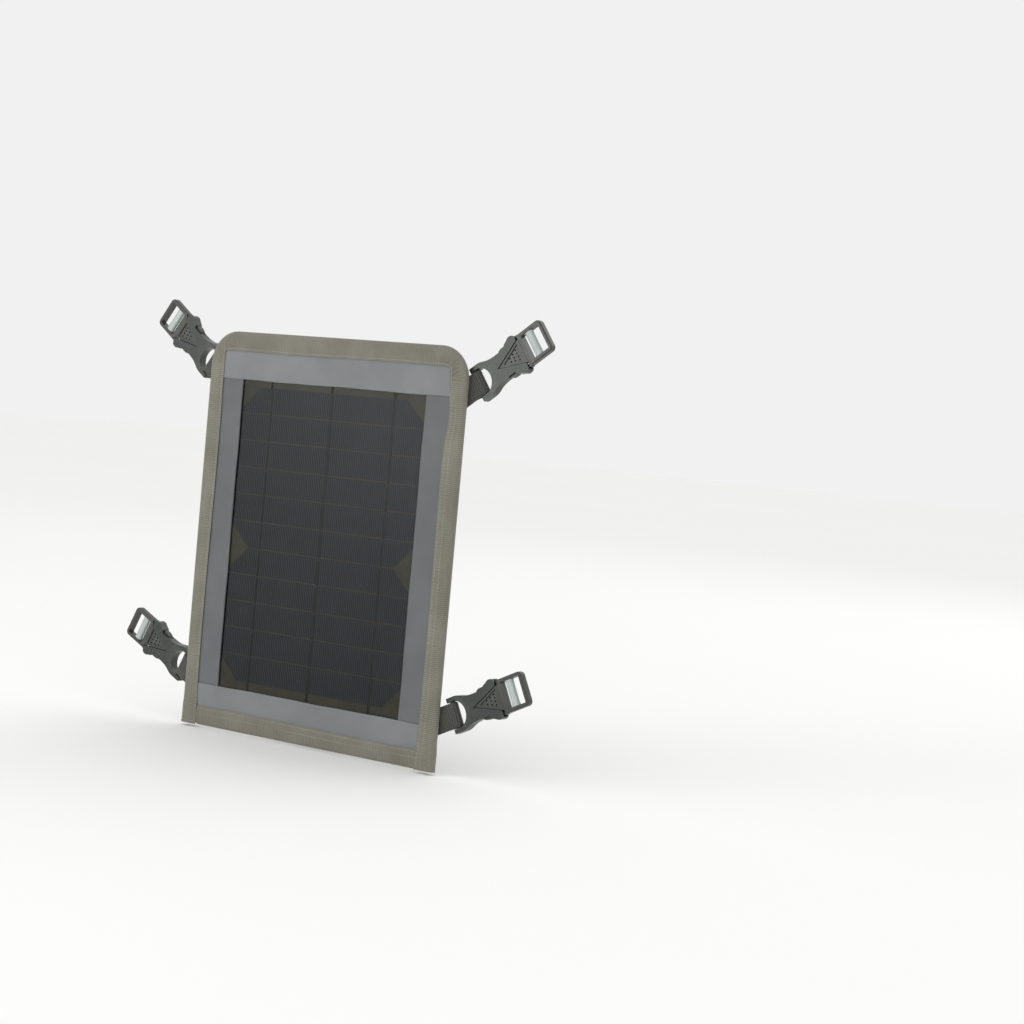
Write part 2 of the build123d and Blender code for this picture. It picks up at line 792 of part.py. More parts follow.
# ---- outlet box: tray on the back panel, lid, circuit board and USB socket --------------------
lid_level = box_depth - lid_thickness
tray_inner_width = box_width - 2 * box_wall
tray_inner_height = box_height - 2 * box_wall
circuit_level = box_wall + circuit_height
circuit_width = box_width - 2 * (screw_inset + boss_radius + board_to_boss)
circuit_depth = tray_inner_height - 2 * board_to_wall
usb_level = circuit_level + circuit_thickness
usb_front = box_level - box_height / 2 + usb_recess
screw_x = box_width / 2 - screw_inset


def back_layer(depth):
    """The plane that lies this far behind the back face, looking to the back."""
    return Plane(origin=(0, depth, 0), x_dir=(-1, 0, 0), z_dir=(0, 1, 0))


with BuildPart() as outlet_box_base:
    with BuildSketch(back_layer(0)):
        with Locations((0, box_level)):
            RectangleRounded(box_width, box_height, box_corner)
    extrude(amount=lid_level)
    with BuildSketch(back_layer(box_wall)):
        with Locations((0, box_level)):
            RectangleRounded(tray_inner_width, tray_inner_height, box_corner - box_wall)
    extrude(amount=lid_level, mode=Mode.SUBTRACT)
    with BuildSketch(back_layer(0)):
        with Locations((-screw_x, box_level), (screw_x, box_level)):
            Circle(boss_radius)
    extrude(amount=lid_level)
    with BuildSketch(back_layer(0)):
        post_x = circuit_width / 2 - post_radius
        post_z = circuit_depth / 2 - post_radius
        with Locations((0, box_level)):
            with GridLocations(2 * post_x, 2 * post_z, 2, 2):
                Circle(post_radius)
    extrude(amount=circuit_level)
    with BuildSketch(back_layer(lid_level - screw_hole_depth)):
        with Locations((-screw_x, box_level), (screw_x, box_level)):
            Circle(screw_radius + screw_hole_clearance)
    extrude(amount=screw_hole_depth, mode=Mode.SUBTRACT)
    # mouth for the socket and the hole for the leads
    with BuildSketch(back_layer(usb_level - usb_mouth_clearance)):
        with Locations((0, box_level - box_height / 2)):
            Rectangle(usb_width + 2 * usb_mouth_clearance, 4 * box_wall)
    extrude(amount=usb_height + 2 * usb_mouth_clearance, mode=Mode.SUBTRACT)
    with BuildSketch(back_layer(0)):
        with Locations((0, box_level)):
            SlotOverall(lead_hole_length, lead_hole_height)
    extrude(amount=box_wall, mode=Mode.SUBTRACT)
save(outlet_box_base.part, "outlet_box_base")

with BuildPart() as outlet_box_lid:
    with BuildSketch(back_layer(lid_level)):
        with Locations((0, box_level)):
            RectangleRounded(box_width, box_height, box_corner)
    extrude(amount=lid_thickness)
    outer_rim = outlet_box_lid.faces().sort_by(Axis.Y)[-1].edges()
    fillet(outer_rim, lid_edge)
    lip_corner = box_corner - box_wall - lid_clearance
    with BuildSketch(back_layer(lid_level - lid_lip)):
        with Locations((0, box_level)):
            lip_width = tray_inner_width - 2 * lid_clearance
            lip_height = tray_inner_height - 2 * lid_clearance
            RectangleRounded(lip_width, lip_height, lip_corner)
            RectangleRounded(
                lip_width - 2 * lid_lip, lip_height - 2 * lid_lip, lip_corner - lid_lip,
                mode=Mode.SUBTRACT,
            )
    extrude(amount=lid_lip)
    with BuildSketch(back_layer(lid_level)):
        with Locations((-screw_x, box_level), (screw_x, box_level)):
            Circle(screw_radius + lid_hole_clearance)
    extrude(amount=lid_thickness, mode=Mode.SUBTRACT)
    with BuildSketch(back_layer(box_depth - screw_head_height)):
        with Locations((-screw_x, box_level), (screw_x, box_level)):
            Circle(screw_head_radius + lid_hole_clearance)
    extrude(amount=screw_head_height, mode=Mode.SUBTRACT)
save(outlet_box_lid.part, "outlet_box_lid")

with BuildPart() as lid_screws:
    with BuildSketch(back_layer(box_depth - screw_head_height)):
        with Locations((-screw_x, box_level), (screw_x, box_level)):
            Circle(screw_head_radius)
    extrude(amount=screw_head_height)
    with BuildSketch(back_layer(lid_level - screw_length)):
        with Locations((-screw_x, box_level), (screw_x, box_level)):
            Circle(screw_radius)
    extrude(amount=screw_length + lid_thickness - screw_head_height)
    with BuildSketch(back_layer(box_depth - cross_width)):
        with Locations((-screw_x, box_level), (screw_x, box_level)):
            Rectangle(cross_length, cross_width)
            Rectangle(cross_width, cross_length)
    extrude(amount=cross_width, mode=Mode.SUBTRACT)
save(lid_screws.part, "lid_screws")

with BuildPart() as outlet_circuit:
    with BuildSketch(back_layer(circuit_level)):
        with Locations((0, box_level)):
            Rectangle(circuit_width, circuit_depth)
    extrude(amount=circuit_thickness)
    with BuildSketch(back_layer(usb_level)):
        chip_x = circuit_width / 2 - chip_inset
        with Locations((-chip_x, box_level), (chip_x, box_level)):
            Rectangle(chip_size, chip_size)
    extrude(amount=chip_height)
save(outlet_circuit.part, "outlet_circuit")

with BuildPart() as usb_socket:
    with BuildSketch(back_layer(usb_level)):
        with Locations((0, usb_front + usb_length / 2)):
            Rectangle(usb_width, usb_length)
    extrude(amount=usb_height)
    with BuildSketch(back_layer(usb_level + usb_wall)):
        with Locations((0, usb_front + (usb_length - usb_back_wall) / 2)):
            Rectangle(usb_width - 2 * usb_wall, usb_length - usb_back_wall)
    extrude(amount=usb_height - 2 * usb_wall, mode=Mode.SUBTRACT)
    tongue_level = usb_level + usb_height - usb_wall - usb_tongue_gap - usb_tongue_thickness
    with BuildSketch(back_layer(tongue_level)):
        with Locations((0, usb_front + usb_length / 2 + usb_recess)):
            Rectangle(usb_width - 2 * usb_tongue_side, usb_length - usb_back_wall)
    extrude(amount=usb_tongue_thickness)
save(usb_socket.part, "usb_socket")
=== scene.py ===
from math import cos, pi, radians, sin, tau

import bmesh
import bpy
import numpy as np
from mathutils import Matrix, Vector


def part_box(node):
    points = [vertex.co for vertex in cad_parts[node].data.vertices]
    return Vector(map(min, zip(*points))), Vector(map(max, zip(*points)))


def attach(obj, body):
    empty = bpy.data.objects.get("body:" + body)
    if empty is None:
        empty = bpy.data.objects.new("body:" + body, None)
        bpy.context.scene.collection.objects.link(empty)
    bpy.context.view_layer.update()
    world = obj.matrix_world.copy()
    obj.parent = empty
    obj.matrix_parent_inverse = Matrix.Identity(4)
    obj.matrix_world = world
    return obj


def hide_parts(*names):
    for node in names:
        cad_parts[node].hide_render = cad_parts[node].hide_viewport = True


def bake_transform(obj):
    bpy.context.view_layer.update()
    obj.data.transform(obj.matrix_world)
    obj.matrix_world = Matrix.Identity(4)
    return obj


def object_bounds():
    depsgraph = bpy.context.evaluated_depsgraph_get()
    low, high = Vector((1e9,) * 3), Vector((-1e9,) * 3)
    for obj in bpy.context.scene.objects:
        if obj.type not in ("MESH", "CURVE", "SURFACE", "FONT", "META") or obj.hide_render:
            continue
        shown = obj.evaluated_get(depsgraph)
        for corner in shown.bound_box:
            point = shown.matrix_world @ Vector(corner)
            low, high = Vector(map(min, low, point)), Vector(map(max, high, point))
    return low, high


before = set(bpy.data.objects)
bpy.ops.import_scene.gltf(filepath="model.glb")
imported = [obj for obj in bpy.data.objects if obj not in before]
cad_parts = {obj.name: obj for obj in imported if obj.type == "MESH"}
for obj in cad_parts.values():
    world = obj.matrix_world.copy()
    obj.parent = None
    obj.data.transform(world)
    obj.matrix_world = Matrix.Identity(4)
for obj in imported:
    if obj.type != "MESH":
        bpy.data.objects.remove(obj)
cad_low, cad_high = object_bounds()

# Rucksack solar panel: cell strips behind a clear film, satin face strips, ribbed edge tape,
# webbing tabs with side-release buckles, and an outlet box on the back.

MM = 0.001

# ---- sizes, in millimetres ------------------------------------------------------------------
tape_low, tape_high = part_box("edge_binding_sides")
HALF_WIDTH = tape_high.x / MM
HALF_HEIGHT = tape_high.z / MM
FRONT = -tape_low.y / MM                  # the tape's front, counted from the back face
CORNER_RADIUS = 22.0
TAPE_WIDTH = 13.0
TAPE_THICKNESS = 0.55
ROUND_RADIUS = FRONT / 2
RIB_PITCH = 1.25
RIB_HEIGHT = 0.13
STEPS_PER_RIB = 4
STITCH_PITCH = 2.2
STITCH_FROM_EDGE = 1.5
SECOND_SEAM = 5.2                          # from the tape's edge, on the right and the bottom

film_low, film_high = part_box("front_film")
FILM_FRONT = -film_low.y / MM
STRIP_TOP = 4.45                          # the satin strips' faces, counted from the back face
STRIP_OVERLAY = 4.72
STRIP_TUCKED = 3.95
WINDOW_HALF_WIDTH = 77.4
WINDOW_TOP = 102.0
WINDOW_BOTTOM = -105.5
HEM_RADIUS = 0.48

WEBBING_HALF_WIDTH = 8.0
WEBBING_THICKNESS = 1.15
BAR_HEIGHT = 3.9
FOLD_LINE = -8.0
SEWN_START = -33.8
LOOP_RADIUS = 2.42                        # to the middle of the webbing

# side, the bar's place across and up, and the tab's angle in degrees
CORNERS = {
    "top_left": (-1, HALF_WIDTH + 5.9, HALF_HEIGHT - 21.9, 36.0),
    "top_right": (1, HALF_WIDTH + 5.9, HALF_HEIGHT - 21.9, 36.0),
    "bottom_left": (-1, HALF_WIDTH + 9.0, -HALF_HEIGHT + 37.4, 26.0),
    "bottom_right": (1, HALF_WIDTH + 9.0, -HALF_HEIGHT + 37.4, 26.0),
}


# ---- shader building ------------------------------------------------------------------------
def colour(hex_text):
    """A hex colour as linear red, green, blue and alpha."""
    parts = [int(hex_text[i:i + 2], 16) / 255 for i in (0, 2, 4)]
    return tuple(c / 12.92 if c <= 0.04045 else ((c + 0.055) / 1.055) ** 2.4 for c in parts) + (1.0,)


def put(tree, kind, values=None, **settings):
    """A node with its settings, and a value or a link for each named input."""
    made = tree.nodes.new(kind)
    for key, value in settings.items():
        setattr(made, key, value)
    for key, value in (values or {}).items():
        if isinstance(value, bpy.types.NodeSocket):
            tree.links.new(value, made.inputs[key])
        else:
            made.inputs[key].default_value = value
    return made


def calc(tree, operation, first, second=0.0):
    return put(tree, "ShaderNodeMath", {0: first, 1: second}, operation=operation).outputs[0]


def mixed(tree, factor, first, second):
    made = put(tree, "ShaderNodeMix", {0: factor, 6: first, 7: second}, data_type="RGBA")
    return made.outputs[2]


def spread(tree, value, low, high):
    """The value stretched from 0 at low to 1 at high, and held there."""
    return put(tree, "ShaderNodeMapRange", {0: value, 1: low, 2: high}, clamp=True).outputs[0]


def group(name, inputs, outputs):
    """A new shader group with its inputs and outputs: name, kind and starting value."""
    tree = bpy.data.node_groups.new(name, "ShaderNodeTree")
    for label, kind, start in inputs:
        socket = tree.interface.new_socket(label, in_out="INPUT", socket_type=kind)
        if start is not None:
            socket.default_value = start
    for label, kind in outputs:
        tree.interface.new_socket(label, in_out="OUTPUT", socket_type=kind)
    return tree, tree.nodes.new("NodeGroupInput"), tree.nodes.new("NodeGroupOutput")


def build_drift():
    """Slow and fine unevenness of a surface."""
    tree, given, out = group(
        "uneven tone",
        [("Place", "NodeSocketVector", None), ("Slow", "NodeSocketFloat", 25.0),
         ("Fine", "NodeSocketFloat", 900.0)],
        [("Slow Tone", "NodeSocketFloat"), ("Fine Tone", "NodeSocketFloat")],
    )
    for label, scale, detail in (("Slow Tone", "Slow", 3.0), ("Fine Tone", "Fine", 2.0)):
        noise = put(tree, "ShaderNodeTexNoise",
                    {"Vector": given.outputs["Place"], "Scale": given.outputs[scale],
                     "Detail": detail, "Roughness": 0.55})
        tree.links.new(noise.outputs[0], out.inputs[label])
    return tree


def build_weave():
    """Crossing threads: their height, and where the gaps between them lie, for painted shade there."""
    tree, given, out = group(
        "crossing threads",
        [("Place", "NodeSocketVector", None), ("Along Pitch", "NodeSocketFloat", 0.0012),
         ("Across Pitch", "NodeSocketFloat", 0.0008), ("Slant", "NodeSocketFloat", 0.0)],
        [("Height", "NodeSocketFloat"), ("Gap Shade", "NodeSocketFloat")],
    )
    parts = put(tree, "ShaderNodeSeparateXYZ", {0: given.outputs["Place"]})
    slanted = calc(tree, "MULTIPLY", parts.outputs[1], given.outputs["Slant"])
    along = calc(tree, "ADD", parts.outputs[0], slanted)
    waves = []
    for value, pitch in ((along, "Along Pitch"), (parts.outputs[1], "Across Pitch")):
        turns = calc(tree, "DIVIDE", value, given.outputs[pitch])
        wave = calc(tree, "SINE", calc(tree, "MULTIPLY", turns, tau))
        waves.append(calc(tree, "ABSOLUTE", wave))
    height = calc(tree, "MULTIPLY", waves[0], waves[1])
    tree.links.new(calc(tree, "ADD", height, calc(tree, "MULTIPLY", waves[0], 0.6)), out.inputs["Height"])
    # painted shade: the low places between the threads, to be darkened
    tree.links.new(spread(tree, height, 0.35, 0.0), out.inputs["Gap Shade"])
    return tree


def build_edge_highlight_and_dust():
    """Painted highlight on convex edges, and settled dust."""
    tree, given, out = group(
        "edge highlight and dust",
        [("Place", "NodeSocketVector", None), ("Dust Scale", "NodeSocketFloat", 60.0)],
        [("Edge Highlight", "NodeSocketFloat"), ("Dust", "NodeSocketFloat")],
    )
    shape = put(tree, "ShaderNodeNewGeometry")
    broken = put(tree, "ShaderNodeTexNoise",
                 {"Vector": given.outputs["Place"], "Scale": 500.0, "Detail": 3.0})
    # painted highlight: convex edges, found by pointiness and broken up by noise, are made lighter
    painted_edge_highlight = calc(tree, "MULTIPLY", spread(tree, shape.outputs["Pointiness"], 0.58, 0.72),
                  spread(tree, broken.outputs[0], 0.35, 0.6))
    tree.links.new(painted_edge_highlight, out.inputs["Edge Highlight"])
    settled = put(tree, "ShaderNodeTexNoise",
                  {"Vector": given.outputs["Place"], "Scale": given.outputs["Dust Scale"],
                   "Detail": 8.0, "Roughness": 0.7})
    tree.links.new(spread(tree, settled.outputs[0], 0.52, 0.8), out.inputs["Dust"])
    return tree


UNEVEN_TONE = build_drift()
CROSSING_THREADS = build_weave()
EDGE_HIGHLIGHT_AND_DUST = build_edge_highlight_and_dust()


def placed(tree, kit, values):
    """A shader group put into a material's tree."""
    return put(tree, "ShaderNodeGroup", values, node_tree=kit)


def start_material(name, from_map=False):
    """An empty material: its tree, its Principled shader and where on the piece a point lies."""
    material = bpy.data.materials.new(name)
    material.use_nodes = True
    tree = material.node_tree
    shader = tree.nodes["Principled BSDF"]
    if from_map:
        place = put(tree, "ShaderNodeUVMap", uv_map="cut").outputs[0]
    else:
        place = put(tree, "ShaderNodeTexCoord").outputs["Object"]
    return material, tree, shader, place


FILM_IOR = 1.31
FILM_ROUGHNESS = 0.3


def bond_film(shader):
    """The gloss of the clear film that is bonded over this surface."""
    shader.inputs["Coat Weight"].default_value = 1.0
    shader.inputs["Coat Roughness"].default_value = FILM_ROUGHNESS
    shader.inputs["Coat IOR"].default_value = FILM_IOR
    shader.inputs["Specular IOR Level"].default_value = 0.0


def raise_surface(tree, shader, height, distance, strength=1.0):
    bump = put(tree, "ShaderNodeBump", {"Height": height, "Distance": distance, "Strength": strength})
    tree.links.new(bump.outputs[0], shader.inputs["Normal"])


def woven_material(name, dark, light, gap_shade, along, across, slant=0.0, roughness=0.85,
                   bump=0.00012, sheen=0.25, gap_shade_share=0.7):
    """Cloth woven from matt yarn, in two tones, with painted shade in the gaps between its threads."""
    material, tree, shader, place = start_material(name, from_map=True)
    tone = placed(tree, UNEVEN_TONE, {"Place": place, "Slow": 35.0, "Fine": 1400.0})
    threads = placed(tree, CROSSING_THREADS,
                     {"Place": place, "Along Pitch": along, "Across Pitch": across, "Slant": slant})
    slow = spread(tree, tone.outputs["Slow Tone"], 0.3, 0.7)
    body = mixed(tree, slow, colour(dark), colour(light))
    flecked = mixed(tree, calc(tree, "MULTIPLY", spread(tree, tone.outputs["Fine Tone"], 0.4, 0.75), 0.35),
                    body, colour(light))
    # painted shade between the threads
    shaded = mixed(tree, calc(tree, "MULTIPLY", threads.outputs["Gap Shade"], gap_shade_share), flecked, colour(gap_shade))
    tree.links.new(shaded, shader.inputs["Base Color"])
    rough = put(tree, "ShaderNodeMapRange",
                {0: tone.outputs["Fine Tone"], 3: roughness - 0.08, 4: roughness + 0.08})
    tree.links.new(rough.outputs[0], shader.inputs["Roughness"])
    raise_surface(tree, shader, threads.outputs["Height"], bump)
    shader.inputs["Sheen Weight"].default_value = sheen
    shader.inputs["Sheen Roughness"].default_value = 0.5
    shader.inputs["Specular IOR Level"].default_value = 0.3
    return material


def moulded_material(name, dark, light, painted_edge_highlight, roughness=0.4, grain=0.00003, grain_scale=900.0):
    """Moulded plastic with a fine grain, a painted highlight on its convex edges, and a little dust."""
    material, tree, shader, place = start_material(name)
    tone = placed(tree, UNEVEN_TONE, {"Place": place, "Slow": 60.0, "Fine": grain_scale})
    highlight_and_dust = placed(tree, EDGE_HIGHLIGHT_AND_DUST, {"Place": place, "Dust Scale": 140.0})
    body = mixed(tree, spread(tree, tone.outputs["Slow Tone"], 0.3, 0.7), colour(dark), colour(light))
    # painted highlight: the edges mixed towards the lighter edge colour
    edged = mixed(tree, calc(tree, "MULTIPLY", highlight_and_dust.outputs["Edge Highlight"], 0.35), body, colour(painted_edge_highlight))
    dusty = mixed(tree, calc(tree, "MULTIPLY", highlight_and_dust.outputs["Dust"], 0.05), edged, colour("9a988e"))
    tree.links.new(dusty, shader.inputs["Base Color"])
    rough = calc(tree, "ADD", calc(tree, "MULTIPLY", tone.outputs["Fine Tone"], 0.16), roughness - 0.08)
    tree.links.new(calc(tree, "ADD", rough, calc(tree, "MULTIPLY", highlight_and_dust.outputs["Dust"], 0.12)),
                   shader.inputs["Roughness"])
    raise_surface(tree, shader, tone.outputs["Fine Tone"], grain)
    return material


def satin_material(name, dark, light):
    """Smooth satin with fine threads along it."""
    material, tree, shader, place = start_material(name, from_map=True)
    tone = placed(tree, UNEVEN_TONE, {"Place": place, "Slow": 22.0, "Fine": 700.0})
    threads = placed(tree, CROSSING_THREADS,
                     {"Place": place, "Along Pitch": 0.0011, "Across Pitch": 0.0007, "Slant": 0.8})
    body = mixed(tree, spread(tree, tone.outputs["Slow Tone"], 0.3, 0.7), colour(dark), colour(light))
    # painted shade between the satin's threads
    shaded = mixed(tree, calc(tree, "MULTIPLY", threads.outputs["Gap Shade"], 0.16), body, colour("3c3e42"))
    tree.links.new(shaded, shader.inputs["Base Color"])
    rough = put(tree, "ShaderNodeMapRange", {0: tone.outputs["Fine Tone"], 3: 0.42, 4: 0.6})
    tree.links.new(rough.outputs[0], shader.inputs["Roughness"])
    raise_surface(tree, shader, threads.outputs["Height"], 0.00003)
    shader.inputs["Sheen Weight"].default_value = 0.3
    shader.inputs["Sheen Roughness"].default_value = 0.35
    return material


FINGER_PITCH = 0.00154                     # metres between the cells' printed lines
FINGER_SHARE = 0.85                        # how strongly a line covers the silicon


def cell_material():
    """Silicon: nearly black, with thin printed finger lines and faint crystal tone."""
    material, tree, shader, place = start_material("silicon cell")
    parts = put(tree, "ShaderNodeSeparateXYZ", {0: place})
    turns = calc(tree, "FRACT", calc(tree, "DIVIDE", parts.outputs[0], FINGER_PITCH))
    from_line = calc(tree, "ABSOLUTE", calc(tree, "SUBTRACT", turns, 0.5))
    line = spread(tree, from_line, 0.13, 0.06)
    tone = placed(tree, UNEVEN_TONE, {"Place": place, "Slow": 12.0, "Fine": 2500.0})
    body = mixed(tree, tone.outputs["Slow Tone"], colour("08090b"), colour("0c0d10"))
    printed = mixed(tree, calc(tree, "MULTIPLY", line, FINGER_SHARE), body, colour("383c44"))
    tree.links.new(printed, shader.inputs["Base Color"])
    rough = put(tree, "ShaderNodeMapRange", {0: line, 3: 0.5, 4: 0.65})
    tree.links.new(rough.outputs[0], shader.inputs["Roughness"])
    bond_film(shader)
    return material


FILM_DUST = 0.008                          # share of the film that its dust hides at most


def film_material():
    """Clear film: what it is bonded to shows through it, under a trace of dust."""
    material, tree, shader, place = start_material("clear film")
    highlight_and_dust = placed(tree, EDGE_HIGHLIGHT_AND_DUST, {"Place": place, "Dust Scale": 90.0})
    tone = placed(tree, UNEVEN_TONE, {"Place": place, "Slow": 14.0, "Fine": 260.0})
    dust = mixed(tree, tone.outputs["Slow Tone"], colour("43433f"), colour("55554f"))
    tree.links.new(dust, shader.inputs["Base Color"])
    shader.inputs["Roughness"].default_value = 0.9
    clear = put(tree, "ShaderNodeBsdfTransparent")
    shown = calc(tree, "MULTIPLY", highlight_and_dust.outputs["Dust"], FILM_DUST)
    share = put(tree, "ShaderNodeMixShader", {0: shown, 1: clear.outputs[0], 2: shader.outputs[0]})
    tree.links.new(share.outputs[0], tree.nodes["Material Output"].inputs["Surface"])
    return material


def metal_material(name, dark, light, roughness, metallic=1.0):
    """Bare metal with fine brushing and duller patches."""
    material, tree, shader, place = start_material(name)
    tone = placed(tree, UNEVEN_TONE, {"Place": place, "Slow": 90.0, "Fine": 1600.0})
    body = mixed(tree, spread(tree, tone.outputs["Slow Tone"], 0.3, 0.7), colour(dark), colour(light))
    tree.links.new(body, shader.inputs["Base Color"])
    rough = calc(tree, "ADD", roughness - 0.1, calc(tree, "MULTIPLY", tone.outputs["Fine Tone"], 0.2))
    tree.links.new(rough, shader.inputs["Roughness"])
    raise_surface(tree, shader, tone.outputs["Fine Tone"], 0.000015)
    shader.inputs["Metallic"].default_value = metallic
    return material


def circuit_material():
    """Green board with paler tracks."""
    material, tree, shader, place = start_material("circuit board")
    tracks = put(tree, "ShaderNodeTexBrick",
                 {"Vector": place, "Scale": 220.0, "Mortar Size": 0.06, "Color1": colour("1d3a26"),
                  "Color2": colour("22442c"), "Mortar": colour("6c7a4a")})
    tree.links.new(tracks.outputs[0], shader.inputs["Base Color"])
    tone = placed(tree, UNEVEN_TONE, {"Place": place, "Slow": 90.0, "Fine": 1600.0})
    rough = calc(tree, "ADD", 0.35, calc(tree, "MULTIPLY", tone.outputs["Fine Tone"], 0.2))
    tree.links.new(rough, shader.inputs["Roughness"])
    raise_surface(tree, shader, tracks.outputs[1], 0.00003)
    return material


# the third colour of each woven cloth is the painted shade in its thread gaps
binding_cloth = woven_material("ribbed edge tape", "787669", "8d8b7e", "48463c", 0.0025, 0.0013,
                               bump=0.00010, gap_shade_share=0.72)
satin_cloth = satin_material("satin face cloth", "6f7274", "7d8081")
# painted shade: the same satin as the end strips, painted darker for the upright strips, where its sheen
# falls weaker
upright_satin_painted_shade = satin_material("upright satin cloth, painted shade", "56585b", "626466")
back_cloth_weave = woven_material("coated back cloth", "232425", "2e2f31", "141414", 0.0009, 0.0009,
                                  roughness=0.62, bump=0.00008, sheen=0.1)
webbing_cloth = woven_material("dark webbing", "3a3a37", "5c5c57", "0c0c0b", 0.0032, 0.0024,
                               bump=0.00022, gap_shade_share=0.92)
thread_yarn = moulded_material("sewing thread", "8d8b80", "a5a398", "b8b6ab", roughness=0.8)
dark_yarn = moulded_material("dark sewing thread", "2c2c2a", "454542", "55554f", roughness=0.8)
buckle_plastic = moulded_material("buckle plastic", "252a26", "2a302b", "7d857d", roughness=0.3)
plug_plastic = moulded_material("plug plastic", "30322d", "363831", "8a8e82", roughness=0.32)
# painted highlight: the grip bar is the buckles' dark plastic, painted pale for the strong highlight on its
# ribbed face
grip_bar_painted_highlight_plastic = moulded_material("grip bar plastic, painted highlight", "a7b0ae", "bcc4c1", "dfe4e2", roughness=0.36)
box_plastic = moulded_material("box plastic", "17181a", "202123", "3c3e40", roughness=0.5,
                               grain=0.00006, grain_scale=1800.0)
encapsulant = moulded_material("laminate", "26261b", "2e2e22", "34342a", roughness=0.4)
board_fibre = moulded_material("board", "5a5648", "6a6655", "75705e", roughness=0.8)
foam_cells = moulded_material("edge foam", "3a3a3a", "484848", "505050", roughness=0.95, grain=0.0002)
ribbon_metal = metal_material("dull ribbon", "0f0f0b", "17170f", 0.6, metallic=0.0)
bus_metal = metal_material("tinned ribbon", "8f9190", "a3a5a4", 0.35)
screw_metal = metal_material("screw metal", "6a6c6e", "85878a", 0.35)
shell_metal = metal_material("socket shell", "a9abac", "c2c4c5", 0.28)
circuit_board = circuit_material()
film_clear = film_material()
for bonded in (encapsulant, ribbon_metal):
    bond_film(bonded.node_tree.nodes["Principled BSDF"])
cell_silicon = cell_material()

NODE_FINISH = {
    "cell_strip": cell_silicon,
    "tabbing_ribbon": ribbon_metal,
    "bus_ribbon": bus_metal,
    "encapsulant_sheet": encapsulant,
    "substrate_board": board_fibre,
    "edge_foam": foam_cells,
    "buckle_socket": buckle_plastic,
    "buckle_plug": plug_plastic,
    "prong_": buckle_plastic,
    "outlet_box": box_plastic,
    "lid_screws": screw_metal,
    "outlet_circuit": circuit_board,
    "usb_socket": shell_metal,
}
for node_name, node_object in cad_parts.items():
    for start, finish in NODE_FINISH.items():
        if node_name.startswith(start):
            if node_object.material_slots:
                for holder in node_object.material_slots:
                    holder.material = finish
            else:
                node_object.data.materials.append(finish)


# ---- mesh building --------------------------------------------------------------------------
def make_piece(name, points, faces, finish, slot_name, cut=None):
    """A mesh piece from points in millimetres: right, back and up."""
    mesh = bpy.data.meshes.new(name)
    mesh.from_pydata([tuple(p) for p in np.asarray(points, float) * MM], [], faces)
    if cut is not None:
        layer = mesh.uv_layers.new(name="cut")
        corner_points = np.zeros(len(mesh.loops), np.int32)
        mesh.loops.foreach_get("vertex_index", corner_points)
        layer.data.foreach_set("uv", (np.asarray(cut, float)[corner_points] * MM).astype(np.float32).ravel())
    shaping = bmesh.new()
    shaping.from_mesh(mesh)
    bmesh.ops.recalc_face_normals(shaping, faces=shaping.faces)
    shaping.to_mesh(mesh)
    shaping.free()
    mesh.shade_smooth()
    piece = bpy.data.objects.new(name, mesh)
    bpy.context.scene.collection.objects.link(piece)
    mesh.materials.append(finish)
    return piece


def two_sided(upper, lower):
    """Points and faces of a closed sheet, from the grids of its two sides."""
    rows, columns = upper.shape[:2]
    count = rows * columns
    points = np.concatenate([upper.reshape(-1, 3), lower.reshape(-1, 3)])
    start = (np.arange(rows - 1)[:, None] * columns + np.arange(columns - 1)[None, :]).ravel()
    over = np.stack([start, start + 1, start + columns + 1, start + columns], 1)
    under = over[:, ::-1] + count
    faces = [tuple(f) for f in np.concatenate([over, under]).tolist()]
    border = [range(columns), range((rows - 1) * columns, count),
              range(0, count, columns), range(columns - 1, count, columns)]
    for line in border:
        line = list(line)
        faces += [(a, b, b + count, a + count) for a, b in zip(line, line[1:])]
    return points, faces


def sheet_piece(name, upper, lower, along, across, finish, slot_name):
    points, faces = two_sided(upper, lower)
    cut = np.stack([along.ravel(), across.ravel()], 1)
    return make_piece(name, points, faces, finish, slot_name, np.concatenate([cut, cut]))


def smooth_step(value, low, high):
    t = np.clip((np.asarray(value, float) - low) / (high - low), 0, 1)
    return t * t * (3 - 2 * t)


def ripple(value, *waves):
    """A few slow waves of different length added together: size, length and start of each."""
    return sum(size * np.sin(tau * value / length + start) for size, length, start in waves)


def stitch_row(seats, length, radius=0.24, sides=6, rings=5):
    """Short raised stitches, each from its middle, the way it runs and the way out of the cloth."""
    points, faces = [], []
    for middle, way, out in seats:
        middle, way, out = (np.asarray(v, float) for v in (middle, way, out))
        side = np.cross(way, out)
        first = len(points)
        for ring in range(rings):
            t = ring / (rings - 1)
            centre = middle + way * length * (t - 0.5) + out * (0.34 * sin(pi * t) - 0.2)
            fat = radius * (0.65 + 0.35 * sin(pi * t))
            for k in range(sides):
                a = tau * k / sides
                points.append(centre + side * fat * cos(a) + out * fat * 0.8 * sin(a))
        for ring in range(rings - 1):
            for k in range(sides):
                a = first + ring * sides + k
                b = first + ring * sides + (k + 1) % sides
                faces.append((a, b, b + sides, a + sides))
        faces.append(tuple(first + k for k in range(sides)))
        faces.append(tuple(first + (rings - 1) * sides + k for k in reversed(range(sides))))
    return points, faces


